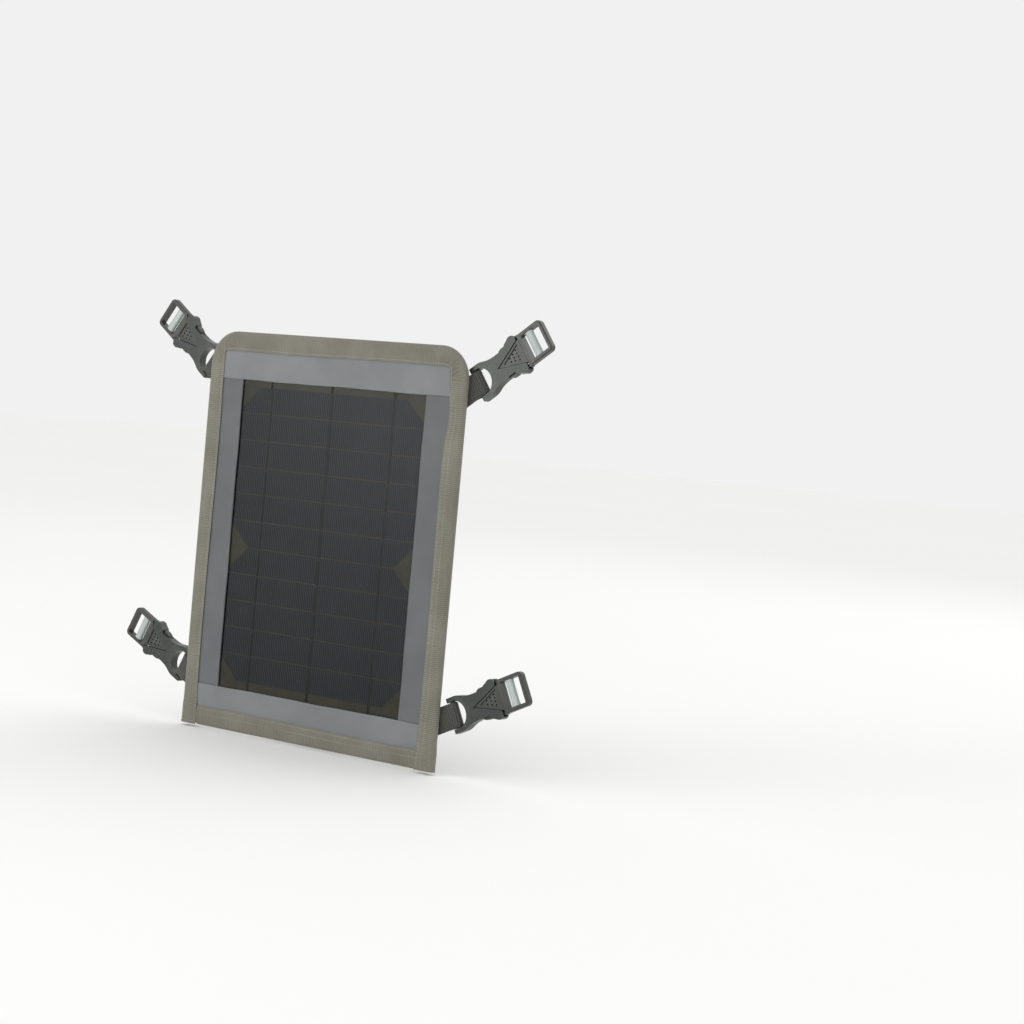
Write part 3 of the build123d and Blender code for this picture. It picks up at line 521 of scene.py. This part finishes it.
# ---- edge tape ------------------------------------------------------------------------------
def tape_route_sides(along):
    """Outer edge of the panel from the bottom left, over the top, to the bottom right:
    where it is, the way inward and how wide the tape is there."""
    side_length = 2 * HALF_HEIGHT - CORNER_RADIUS
    turn_length = CORNER_RADIUS * pi / 2
    top_length = 2 * (HALF_WIDTH - CORNER_RADIUS)
    inner = CORNER_RADIUS - TAPE_WIDTH
    s = along
    if s < side_length:
        z = -HALF_HEIGHT + s
        width = TAPE_WIDTH + 0.5 * sin(z / 37) * (1 if z < 90 else 0)
        return (-HALF_WIDTH, z), (1.0, 0.0), width + 1.0 * smooth_step(-z, 100, 134)
    s -= side_length
    if s < turn_length:
        angle = pi - s / CORNER_RADIUS
        c, d = cos(angle), sin(angle)
        reach = inner / ((abs(c) ** 14 + abs(d) ** 14) ** (1 / 14))
        return ((-HALF_WIDTH + CORNER_RADIUS + CORNER_RADIUS * c,
                 HALF_HEIGHT - CORNER_RADIUS + CORNER_RADIUS * d),
                (-c, -d), CORNER_RADIUS - reach)
    s -= turn_length
    if s < top_length:
        width = TAPE_WIDTH + 0.4 * sin(s / 29) * sin(pi * s / top_length)
        return (-HALF_WIDTH + CORNER_RADIUS + s, HALF_HEIGHT), (0.0, -1.0), width
    s -= top_length
    if s < turn_length:
        angle = pi / 2 - s / CORNER_RADIUS
        c, d = cos(angle), sin(angle)
        reach = inner / ((abs(c) ** 5 + abs(d) ** 5) ** (1 / 5))
        return ((HALF_WIDTH - CORNER_RADIUS + CORNER_RADIUS * c,
                 HALF_HEIGHT - CORNER_RADIUS + CORNER_RADIUS * d),
                (-c, -d), CORNER_RADIUS - reach)
    s -= turn_length
    z = HALF_HEIGHT - CORNER_RADIUS - s
    pulled = 2.2 * float(np.exp(-((z - 90) / 14) ** 2))
    width = TAPE_WIDTH - pulled + 0.3 * sin(z / 31) * (1 if z < 60 else 0)
    return (HALF_WIDTH, z), (-1.0, 0.0), width + 1.0 * smooth_step(-z, 100, 134)


SIDES_LENGTH = 2 * (2 * HALF_HEIGHT - CORNER_RADIUS) + pi * CORNER_RADIUS + 2 * (HALF_WIDTH - CORNER_RADIUS)


BOTTOM_TAPE_INSET = 3.0                    # its ends start this far in from the sides


def tape_route_bottom(along):
    """The panel's bottom edge, from left to right."""
    width = TAPE_WIDTH - 0.3 + 0.5 * sin(along / 33)
    return (-HALF_WIDTH + BOTTOM_TAPE_INSET + along, -HALF_HEIGHT), (0.0, 1.0), width


BOTTOM_LENGTH = 2 * HALF_WIDTH - 2 * BOTTOM_TAPE_INSET
EDGE_SHARES = np.array([0.0, 0.012, 0.035])
FRONT_SHARES = np.concatenate([EDGE_SHARES, np.linspace(0.07, 1.0, 13)])
ROUND_SHARES = np.linspace(0.0, 1.0, 11)[1:-1]


def tape_section(width, rise, tuck):
    """Across the tape from its front edge, round the panel's edge, to its back edge:
    inward distance, height above the back face, the way out and the length so far.
    rise lifts it off the panel, and tuck shrinks it to lie under another tape."""
    radius = ROUND_RADIUS - tuck + rise
    edge = tuck - rise
    flat = width - edge - radius
    front = FRONT_SHARES * flat
    bend = ROUND_SHARES * pi * radius
    back = (1 - FRONT_SHARES[::-1]) * flat
    inward = np.concatenate([width - front, edge + radius - radius * np.sin(ROUND_SHARES * pi),
                             edge + radius + back])
    height = np.concatenate([np.full(len(front), ROUND_RADIUS + radius),
                             ROUND_RADIUS + radius * np.cos(ROUND_SHARES * pi),
                             np.full(len(back), ROUND_RADIUS - radius)])
    out_inward = np.concatenate([np.zeros(len(front)), -np.sin(ROUND_SHARES * pi), np.zeros(len(back))])
    out_height = np.concatenate([np.ones(len(front)), np.cos(ROUND_SHARES * pi), -np.ones(len(back))])
    length = np.concatenate([front, flat + bend, flat + pi * radius + back])
    return inward, height, out_inward, out_height, length, flat


def tape_swell(along, length, total, flat, pucker):
    """How far the tape stands out: ribs, a crown between its seams, dents at the stitches
    and creases at a tight corner."""
    from_edge = np.minimum(length, total - length)
    crown = 0.32 * np.sin(pi * np.clip(from_edge / max(flat, 1), 0, 1)) ** 2
    crown *= 1 + 0.5 * sin(along / 17) * sin(along / 7.3)
    dent = -0.24 * np.exp(-((from_edge - STITCH_FROM_EDGE) / 0.6) ** 2)
    dent *= 0.7 + 0.3 * cos(tau * along / STITCH_PITCH)
    ribs = -RIB_HEIGHT * cos(tau * along / RIB_PITCH) * smooth_step(from_edge, 0.3, 1.2)
    creases = pucker * 0.42 * sin(tau * along / 5.3) * np.exp(-((from_edge - 3.6) / 3.2) ** 2)
    creases += pucker * 0.25 * sin(tau * along / 3.1 + 1.0) * np.exp(-((from_edge - 6.5) / 2.0) ** 2)
    return crown + dent + ribs + creases


def tape_thickness_shares(count):
    """Thinner at the tape's two edges, so that they look soft."""
    shares = np.ones(count)
    shares[:3] = (0.35, 0.75, 0.95)
    shares[-3:] = (0.95, 0.75, 0.35)
    return shares


def build_tape(name, route, total_length, levels, finish):
    steps = int(round(total_length / RIB_PITCH * STEPS_PER_RIB))
    upper, lower, alongs, acrosses = [], [], [], []
    for step in range(steps + 1):
        along = total_length * step / steps
        (x, z), (nx, nz), width = route(along)
        rise, tuck, pucker = levels(along, x, z)
        inward, height, out_in, out_h, length, flat = tape_section(width, rise, tuck)
        swell = tape_swell(along, length, length[-1], flat, pucker)
        thickness = TAPE_THICKNESS * tape_thickness_shares(len(length))
        top_in, top_h = inward + out_in * swell, height + out_h * swell
        low_in, low_h = top_in - out_in * thickness, top_h - out_h * thickness
        upper.append(np.stack([x + nx * top_in, -top_h, z + nz * top_in], 1))
        lower.append(np.stack([x + nx * low_in, -low_h, z + nz * low_in], 1))
        alongs.append(np.full(len(length), along))
        acrosses.append(length)
    return sheet_piece(name, np.array(upper), np.array(lower), np.array(alongs), np.array(acrosses),
                       finish, "binding")


def side_levels(along, x, z):
    """The side tape lies over the bottom tape, and puckers at the top corners."""
    over = 0.3 * float(smooth_step(-z, HALF_HEIGHT - 18, HALF_HEIGHT - 12))
    curl = 0.35 * float(smooth_step(-z, HALF_HEIGHT - 3, HALF_HEIGHT)) if x < 0 else 0.0
    right = float(np.exp(-(((x - HALF_WIDTH + 6) / 12) ** 2 + ((z - HALF_HEIGHT + 14) / 14) ** 2)))
    left = 0.35 * float(np.exp(-(((x + HALF_WIDTH - 6) / 9) ** 2 + ((z - HALF_HEIGHT + 8) / 9) ** 2)))
    return over + curl, 0.0, right + left


def bottom_levels(along, x, z):
    """The bottom tape's ends are tucked in under the side tape."""
    under = 0.62 * float(smooth_step(abs(x), HALF_WIDTH - TAPE_WIDTH - 1.6, HALF_WIDTH - TAPE_WIDTH + 0.2))
    return 0.0, under, 0.12


def tape_stitches(route, total_length, levels, rows, since=0.0):
    """Seats for the stitches along a tape, in rows given by their distance from its edge and side."""
    seats = []
    count = int(total_length / STITCH_PITCH)
    for k in range(1, count):
        along = k * STITCH_PITCH + STITCH_PITCH / 2
        if along < since:
            continue
        (x, z), (nx, nz), width = route(along)
        (x2, z2), _, width2 = route(min(along + 0.2, total_length))
        rise, tuck, pucker = levels(along, x, z)
        if tuck > 0.3:
            continue
        for from_edge, front in rows:
            inward = width - from_edge
            inward2 = width2 - from_edge
            way = np.array([x2 + nx * inward2 - x - nx * inward, 0.0, z2 + nz * inward2 - z - nz * inward])
            size = np.linalg.norm(way)
            if size < 1e-6:
                continue
            level = FRONT + rise if front else -rise
            sink = 0.1 if from_edge < 3 else -0.22
            out = -1.0 if front else 1.0
            place = (x + nx * inward, -level - out * sink, z + nz * inward)
            seats.append((place, way / size, (0.0, out, 0.0)))
    return seats


sides_tape = build_tape("side_tape", tape_route_sides, SIDES_LENGTH, side_levels, binding_cloth)
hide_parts("edge_binding_sides")
bottom_tape = build_tape("bottom_tape", tape_route_bottom, BOTTOM_LENGTH, bottom_levels, binding_cloth)
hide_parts("edge_binding_bottom")

RIGHT_START = SIDES_LENGTH - (2 * HALF_HEIGHT - CORNER_RADIUS)
seam_seats = tape_stitches(tape_route_sides, SIDES_LENGTH, side_levels,
                           [(STITCH_FROM_EDGE, True), (STITCH_FROM_EDGE, False)])
seam_seats += tape_stitches(tape_route_sides, SIDES_LENGTH, side_levels, [(SECOND_SEAM, True)],
                            since=RIGHT_START + 14)
side_seam = make_piece("side_tape_stitches", *stitch_row(seam_seats, 1.75), thread_yarn, "binding")
seam_seats = tape_stitches(tape_route_bottom, BOTTOM_LENGTH, bottom_levels,
                           [(STITCH_FROM_EDGE, True), (STITCH_FROM_EDGE, False), (SECOND_SEAM, True)])
bottom_seam = make_piece("bottom_tape_stitches", *stitch_row(seam_seats, 1.75), thread_yarn, "binding")
for piece in (sides_tape, bottom_tape, side_seam, bottom_seam):
    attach(piece, "panel")

# ---- clear film -----------------------------------------------------------------------------
FILM_BACK = 3.27                           # clear of the ribbons that stand up from the cells
FILM_SUNK = 0.02                           # the film's face lies this far under the strips' hems


def build_film():
    """The clear film over the cells, with the faint swell of a bonded sheet."""
    z, x = np.meshgrid(np.linspace(film_low.z / MM, film_high.z / MM, 90),
                       np.linspace(film_low.x / MM, film_high.x / MM, 70), indexing="ij")
    face = FILM_FRONT - FILM_SUNK + ripple(z + 0.3 * x, (0.008, 83, 0.2)) + ripple(x, (0.006, 57, 1.3))
    outer = np.stack([x, -face, z], -1)
    inner = np.stack([x, -np.full_like(x, FILM_BACK), z], -1)
    piece = sheet_piece("clear_film_sheet", outer, inner, z, x, film_clear, "film")
    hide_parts("front_film")
    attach(piece, "panel")


build_film()

# ---- satin face strips ----------------------------------------------------------------------
STRIP_INSET = 4.2                          # the strips end this far inside the panel's edge
STRIP_OUTER = HALF_WIDTH - STRIP_INSET
STRIP_END = HALF_HEIGHT - STRIP_INSET


def hem_shares(distance):
    """Half thickness of a folded hem at this distance from its fold."""
    t = np.clip(distance / HEM_RADIUS, 0, 1)
    return HEM_RADIUS * np.sqrt(1 - (1 - t) ** 2)


HEM_STEPS = np.array([0.0, 0.04, 0.14, 0.3, 0.5, 0.9, 1.6])
# the soft folds across an end strip: place, width and depth
TOP_FOLDS = ((-71, 5.5, 0.24), (-39, 6.5, 0.34), (-6, 5.0, 0.3), (27, 6.0, 0.38), (60, 6.5, 0.3))
BOTTOM_FOLDS = ((-52, 7.0, 0.14), (8, 8.0, 0.12), (49, 7.0, 0.16))


def side_strip(name, side):
    run = np.linspace(-STRIP_END, STRIP_END, 260)
    width = STRIP_OUTER - WINDOW_HALF_WIDTH
    inset = np.concatenate([HEM_STEPS, np.linspace(2.6, width, 20)])
    z, d = np.meshgrid(run, inset, indexing="ij")
    wander = ripple(z, (0.14, 88, 0.4), (0.08, 41, 1.9))
    x = side * (WINDOW_HALF_WIDTH + wander * (1 - d / width) + d)
    tucked = np.maximum(smooth_step(z, WINDOW_TOP - 0.8, WINDOW_TOP + 0.6),
                        smooth_step(-z, -WINDOW_BOTTOM - 0.8, -WINDOW_BOTTOM + 0.6))
    puff = (0.14 * np.sin(pi * np.clip(d / 17.6, 0, 1))
            + ripple(z + 7 * side, (0.05, 63, 0.2), (0.035, 27, 1.1)))
    hem_ridge = 0.1 * np.exp(-((d - 1.1) / 0.7) ** 2)
    top = (STRIP_TOP + puff + hem_ridge) * (1 - tucked) + STRIP_TUCKED * tucked
    middle = FILM_FRONT + HEM_RADIUS
    half = hem_shares(d)
    upper_h = middle + (top - middle) * half / HEM_RADIUS
    lower_h = middle - half
    return sheet_piece(name, np.stack([x, -upper_h, z], -1), np.stack([x, -lower_h, z], -1),
                       z, d, upright_satin_painted_shade, "face_fabric")


def end_strip(name, upward):
    edge = WINDOW_TOP if upward else -WINDOW_BOTTOM
    sign = 1 if upward else -1
    reach = STRIP_END - edge
    run = np.linspace(-STRIP_OUTER, STRIP_OUTER, 300)
    inset = np.concatenate([HEM_STEPS, np.linspace(2.4, reach, 20)])
    x, d = np.meshgrid(run, inset, indexing="ij")
    wander = ripple(x, (0.16, 97, 0.7), (0.07, 38, 0.1))
    z = sign * (edge + wander * (1 - d / reach) + d)
    visible = np.clip(d / (HALF_HEIGHT - TAPE_WIDTH - edge), 0, 1)
    folds = 0.0
    for centre, spread_width, size in TOP_FOLDS if upward else BOTTOM_FOLDS:
        lean = centre + 2.2 * (visible - 0.5)
        beside = lean + 1.7 * spread_width
        folds = folds - size * np.exp(-((x - lean) / spread_width) ** 2)
        folds = folds + 0.6 * size * np.exp(-((x - beside) / spread_width) ** 2)
    folds = folds * np.sin(pi * np.clip(visible, 0.0, 1.0)) ** 0.6
    over_side = smooth_step(np.abs(x), WINDOW_HALF_WIDTH - 1.0, WINDOW_HALF_WIDTH + 1.2)
    raised = (STRIP_OVERLAY - STRIP_TOP) * (0.35 + 0.65 * over_side)
    top = STRIP_TOP + raised * (1 - smooth_step(visible, 0.75, 1.0))
    top = top + folds + 0.12 * np.exp(-((d - 1.2) / 0.7) ** 2)
    under = FILM_FRONT + over_side * (STRIP_TUCKED - FILM_FRONT)
    half = hem_shares(d) / HEM_RADIUS
    middle = (under + STRIP_TOP) / 2
    upper_h = middle + (top - middle) * half
    lower_h = middle - (middle - under) * half
    return sheet_piece(name, np.stack([x, -upper_h, z], -1), np.stack([x, -lower_h, z], -1),
                       x, d, satin_cloth, "face_fabric")


STRIPS = (
    (side_strip("satin_strip_left", -1), "face_strip_left", STRIP_OUTER - WINDOW_HALF_WIDTH, 2 * STRIP_END),
    (side_strip("satin_strip_right", 1), "face_strip_right", STRIP_OUTER - WINDOW_HALF_WIDTH, 2 * STRIP_END),
    (end_strip("satin_strip_top", True), "face_strip_top", STRIP_END - WINDOW_TOP, 2 * STRIP_OUTER),
    (end_strip("satin_strip_bottom", False), "face_strip_bottom", STRIP_END + WINDOW_BOTTOM,
     2 * STRIP_OUTER),
)


def trim_corners(piece, radius, inset):
    """Draws the piece's two top corners in to the panel's rounded corner, under the tape."""
    centre_x, centre_z = HALF_WIDTH - CORNER_RADIUS, HALF_HEIGHT - CORNER_RADIUS
    for point in piece.data.vertices:
        x, z = abs(point.co.x) / MM - centre_x, point.co.z / MM - centre_z
        distance = (x * x + z * z) ** 0.5
        if x > 0 and z > 0 and distance > radius - inset:
            share = (radius - inset) / distance
            point.co.x = (1 if point.co.x > 0 else -1) * (centre_x + x * share) * MM
            point.co.z = (centre_z + z * share) * MM


for piece, replaced, width, length in STRIPS:
    trim_corners(piece, CORNER_RADIUS, 5.0)
    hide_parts(replaced)
    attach(piece, "panel")

# ---- back cloth -----------------------------------------------------------------------------
CLOTH_UNDER_TAPE = 6.0
BACK_HALF_WIDTH = HALF_WIDTH - TAPE_WIDTH + CLOTH_UNDER_TAPE
BACK_HALF_HEIGHT = HALF_HEIGHT - TAPE_WIDTH + CLOTH_UNDER_TAPE


def build_back_cloth():
    """The coated cloth over the back, slack between its seams and drawn in under the tape."""
    z, x = np.meshgrid(np.linspace(-BACK_HALF_HEIGHT, BACK_HALF_HEIGHT, 200),
                       np.linspace(-BACK_HALF_WIDTH, BACK_HALF_WIDTH, 160), indexing="ij")
    slack = (ripple(x + 0.35 * z, (0.16, 71, 0.3), (0.09, 33, 1.4))
             + ripple(z - 0.2 * x, (0.14, 94, 2.0), (0.07, 29, 0.6)))
    from_side, from_end = BACK_HALF_WIDTH - np.abs(x), BACK_HALF_HEIGHT - np.abs(z)
    held = smooth_step(from_side, 5.0, 22.0) * smooth_step(from_end, 5.0, 22.0)
    sunk = 0.62 * (1 - smooth_step(from_side, 5.5, 8.5) * smooth_step(from_end, 5.5, 8.5))
    level = 0.3 + sunk * 0.6 - (slack + 0.25) * held * 0.6
    outer = np.stack([x, -np.maximum(level, 0.02), z], -1)
    inner = np.stack([x, -np.full_like(x, 1.18), z], -1)
    piece = sheet_piece("back_cloth", outer, inner, z, x, back_cloth_weave, "back_fabric")
    trim_corners(piece, CORNER_RADIUS, 4.0)
    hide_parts("back_panel")
    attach(piece, "panel")


build_back_cloth()


# ---- webbing tabs and grip bars -------------------------------------------------------------
def corner_axes(corner):
    """The buckle's bar, the way along the tab and the way across it, in millimetres."""
    side, x, z, angle = CORNERS[corner]
    along = np.array([side * cos(radians(angle)), 0.0, sin(radians(angle))])
    across = np.array([sin(radians(angle)), 0.0, -side * cos(radians(angle))])
    return np.array([side * x, 0.0, z]), along, across


def webbing_route():
    """Middle line of the webbing, along the tab and out of the panel: along the lower ply,
    round the bar and back along the upper ply."""
    line = [(s, 0.6) for s in np.arange(SEWN_START, FOLD_LINE + 0.6, 0.6)]
    start, end = np.array(line[-1]), np.array([0.6, BAR_HEIGHT - LOOP_RADIUS])
    for t in np.linspace(0, 1, 14)[1:-1]:
        line.append(tuple(start + (end - start) * np.array([t, t * t * (3 - 2 * t)])))
    for a in np.radians(np.arange(-78, 100, 9)):
        line.append((LOOP_RADIUS * cos(a), BAR_HEIGHT + LOOP_RADIUS * sin(a)))
    start, end = np.array(line[-1]), np.array([FOLD_LINE + 0.3, 1.78])
    for t in np.linspace(0, 1, 14)[1:]:
        line.append(tuple(start + (end - start) * np.array([t, t * t * (3 - 2 * t)])))
    line += [(s, 1.78) for s in np.arange(FOLD_LINE - 0.3, SEWN_START - 0.01, -0.6)]
    return np.array(line)


def even_line(line, step):
    """The same line, with points an even distance apart."""
    lengths = np.concatenate([[0], np.cumsum(np.linalg.norm(np.diff(line, axis=0), axis=1))])
    at = np.linspace(0, lengths[-1], int(lengths[-1] / step) + 1)
    return np.stack([np.interp(at, lengths, line[:, k]) for k in (0, 1)], 1), at


def build_webbing(corner):
    origin, way, across = corner_axes(corner)
    out = np.array([0.0, 1.0, 0.0])
    line, at = even_line(webbing_route(), 0.32)
    slope = np.gradient(line, axis=0)
    slope /= np.linalg.norm(slope, axis=1)[:, None]
    normal = np.stack([slope[:, 1], -slope[:, 0]], 1)
    edge = np.array([0.0, 0.18, 0.5])
    inner = np.linspace(1.1, 2 * WEBBING_HALF_WIDTH - 1.1, 19)
    t = np.concatenate([edge, inner, 2 * WEBBING_HALF_WIDTH - edge[::-1]]) - WEBBING_HALF_WIDTH
    soft = np.ones(len(t))
    soft[:3], soft[-3:] = (0.45, 0.8, 0.97), (0.97, 0.8, 0.45)
    ribs = 0.09 * np.cos(tau * at / 1.6)[:, None] * np.cos(tau * t / 2.0)[None, :]
    selvedge = 0.06 * np.exp(-((np.abs(t) - 6.9) / 0.5) ** 2)[None, :]
    half = (WEBBING_THICKNESS / 2) * soft[None, :] + (ribs + selvedge) * soft[None, :]
    grids = []
    for sign in (1, -1):
        s = line[:, 0][:, None] + sign * normal[:, 0][:, None] * half
        n = line[:, 1][:, None] + sign * normal[:, 1][:, None] * half
        grids.append(origin + s[..., None] * way + n[..., None] * out + t[None, :, None] * across)
    along_grid, across_grid = np.meshgrid(at, t, indexing="ij")
    piece = sheet_piece(f"webbing_tab_{corner}", grids[0], grids[1], along_grid, across_grid,
                        webbing_cloth, "webbing")
    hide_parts(f"tab_end_{corner}", f"tab_loop_{corner}")
    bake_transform(piece)


def build_tab_stitches(corner):
    """A sewn box with a cross in it, through both plies and the back cloth."""
    origin, way, across = corner_axes(corner)
    low, high, side = SEWN_START + 2.2, FOLD_LINE - 3.6, WEBBING_HALF_WIDTH - 1.9
    ends = [(low, -side), (high, -side), (high, side), (low, side), (low, -side)]
    runs = list(zip(ends, ends[1:])) + [((low, -side), (high, side)), ((low, side), (high, -side))]
    seats = []
    for start, end in runs:
        start, end = np.array(start), np.array(end)
        length = np.linalg.norm(end - start)
        unit = (end - start) / length
        count = int(length / STITCH_PITCH)
        for k in range(count):
            s, t = start + unit * (k + 0.5) * length / count
            place = origin + way * s + across * t + np.array([0.0, 2.42, 0.0])
            seats.append((place, way * unit[0] + across * unit[1], (0.0, 1.0, 0.0)))
    piece = make_piece(f"tab_stitches_{corner}", *stitch_row(seats, 1.7, radius=0.27), dark_yarn, "webbing")
    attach(piece, "panel")


BAR_HALF_LENGTH = 8.66
BAR_MIDDLE = 46.0
BAR_HALF_WIDTH = 2.9
BAR_HALF_THICKNESS = 2.05


def build_grip_bar(corner):
    """A ribbed spool with flared ends, across the frame of the plug."""
    origin, way, across = corner_axes(corner)
    centre = origin + way * BAR_MIDDLE + np.array([0.0, BAR_HEIGHT, 0.0])
    stations = np.concatenate([[-BAR_HALF_LENGTH, -BAR_HALF_LENGTH + 0.12],
                               np.linspace(-BAR_HALF_LENGTH + 0.3, BAR_HALF_LENGTH - 0.3, 121),
                               [BAR_HALF_LENGTH - 0.12, BAR_HALF_LENGTH]])
    sides = 40
    points, faces = [], []
    for station in stations:
        from_end = BAR_HALF_LENGTH - abs(station)
        flare = 1.0 - 0.1 * float(smooth_step(from_end, 0.9, 1.7))
        flare -= 0.04 * float(smooth_step(0.3 - from_end, 0, 0.3))
        rib = 0.0 if from_end < 1.6 else 0.1 * abs(sin(pi * station / 0.9)) - 0.05
        for k in range(sides):
            a = tau * k / sides
            wide, thick = BAR_HALF_WIDTH * flare + rib, BAR_HALF_THICKNESS * flare + rib
            c, d = cos(a), sin(a)
            square = (abs(c) ** 2.6 + abs(d) ** 2.6) ** (-1 / 2.6)
            points.append(centre + across * station + way * wide * c * square
                          + np.array([0.0, thick * d * square, 0.0]))
    for i in range(len(stations) - 1):
        for k in range(sides):
            a, b = i * sides + k, i * sides + (k + 1) % sides
            faces.append((a, b, b + sides, a + sides))
    faces.append(tuple(range(sides)))
    faces.append(tuple((len(stations) - 1) * sides + k for k in reversed(range(sides))))
    piece = make_piece(f"grip_spool_{corner}", points, faces, grip_bar_painted_highlight_plastic, "grip_bar")
    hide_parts(f"grip_bar_{corner}")
    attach(piece, f"plug_{corner}")


for corner in CORNERS:
    build_webbing(corner)
    build_tab_stitches(corner)
    build_grip_bar(corner)


# ---- floor, lights and camera ---------------------------------------------------------------
FLOOR_REACH = 9.0                          # metres, from the middle
FLOOR_DROP = 0.002                         # metres, under the lowest point


def build_floor():
    material, tree, shader, place = start_material("pale floor")
    tone = placed(tree, UNEVEN_TONE, {"Place": place, "Slow": 1.5, "Fine": 40.0})
    body = mixed(tree, tone.outputs["Slow Tone"], colour("f5f5f4"), colour("f8f8f7"))
    tree.links.new(body, shader.inputs["Base Color"])
    shader.inputs["Roughness"].default_value = 0.9
    size, level = FLOOR_REACH, cad_low.z - FLOOR_DROP
    mesh = bpy.data.meshes.new("floor")
    ends = [(-size, -size, level), (size, -size, level), (size, size, level), (-size, size, level)]
    mesh.from_pydata(ends, [], [(0, 1, 2, 3)])
    mesh.materials.append(material)
    floor = bpy.data.objects.new("floor", mesh)
    bpy.context.scene.collection.objects.link(floor)


def build_world():
    """A pale surround, dimmer from below than from above."""
    world = bpy.data.worlds.new("pale surround")
    bpy.context.scene.world = world
    world.use_nodes = True
    tree = world.node_tree
    ground = tree.nodes["Background"]
    way = put(tree, "ShaderNodeSeparateXYZ", {0: put(tree, "ShaderNodeTexCoord").outputs["Generated"]})
    height = spread(tree, way.outputs[2], -0.15, 0.9)
    light = mixed(tree, height, (0.86, 0.86, 0.86, 1.0), (0.96, 0.96, 0.96, 1.0))
    seen = put(tree, "ShaderNodeLightPath").outputs["Is Camera Ray"]
    tree.links.new(mixed(tree, seen, light, (0.88, 0.88, 0.88, 1.0)), ground.inputs["Color"])


def add_softbox(name, place, target, size, energy):
    lamp = bpy.data.lights.new(name, "AREA")
    lamp.shape = "RECTANGLE"
    lamp.size, lamp.size_y = size
    lamp.energy = energy
    holder = bpy.data.objects.new(name, lamp)
    bpy.context.scene.collection.objects.link(holder)
    holder.location = place
    holder.rotation_euler = (Vector(target) - Vector(place)).to_track_quat("-Z", "Y").to_euler()


def build_camera():
    place = Vector((0.9214, -1.1119, 0.0906))
    back = Vector((0.5706, -0.8204, 0.0413)).normalized()
    right = Vector((0.8156, 0.5717, 0.0894))
    right = (right - back * right.dot(back)).normalized()
    up = back.cross(right)
    data = bpy.data.cameras.new("camera")
    data.lens, data.sensor_width = 77.34, 36.0
    data.clip_start, data.clip_end = 0.05, 60.0
    camera = bpy.data.objects.new("camera", data)
    bpy.context.scene.collection.objects.link(camera)
    camera.matrix_world = Matrix.Translation(place) @ Matrix((right, up, back)).transposed().to_4x4()
    bpy.context.scene.camera = camera


build_floor()
build_world()
add_softbox("key_light", (-0.92, -1.6, 0.42), (0, 0, 0), (0.85, 0.95), 7.8)
add_softbox("fill_light", (1.9, -1.3, 0.9), (0, 0, 0), (1.2, 1.2), 3.0)
add_softbox("back_light", (0.3, 2.0, 1.3), (0, 0, 0), (1.6, 1.2), 5.0)
build_camera()
bpy.context.scene.view_settings.view_transform = "Standard"
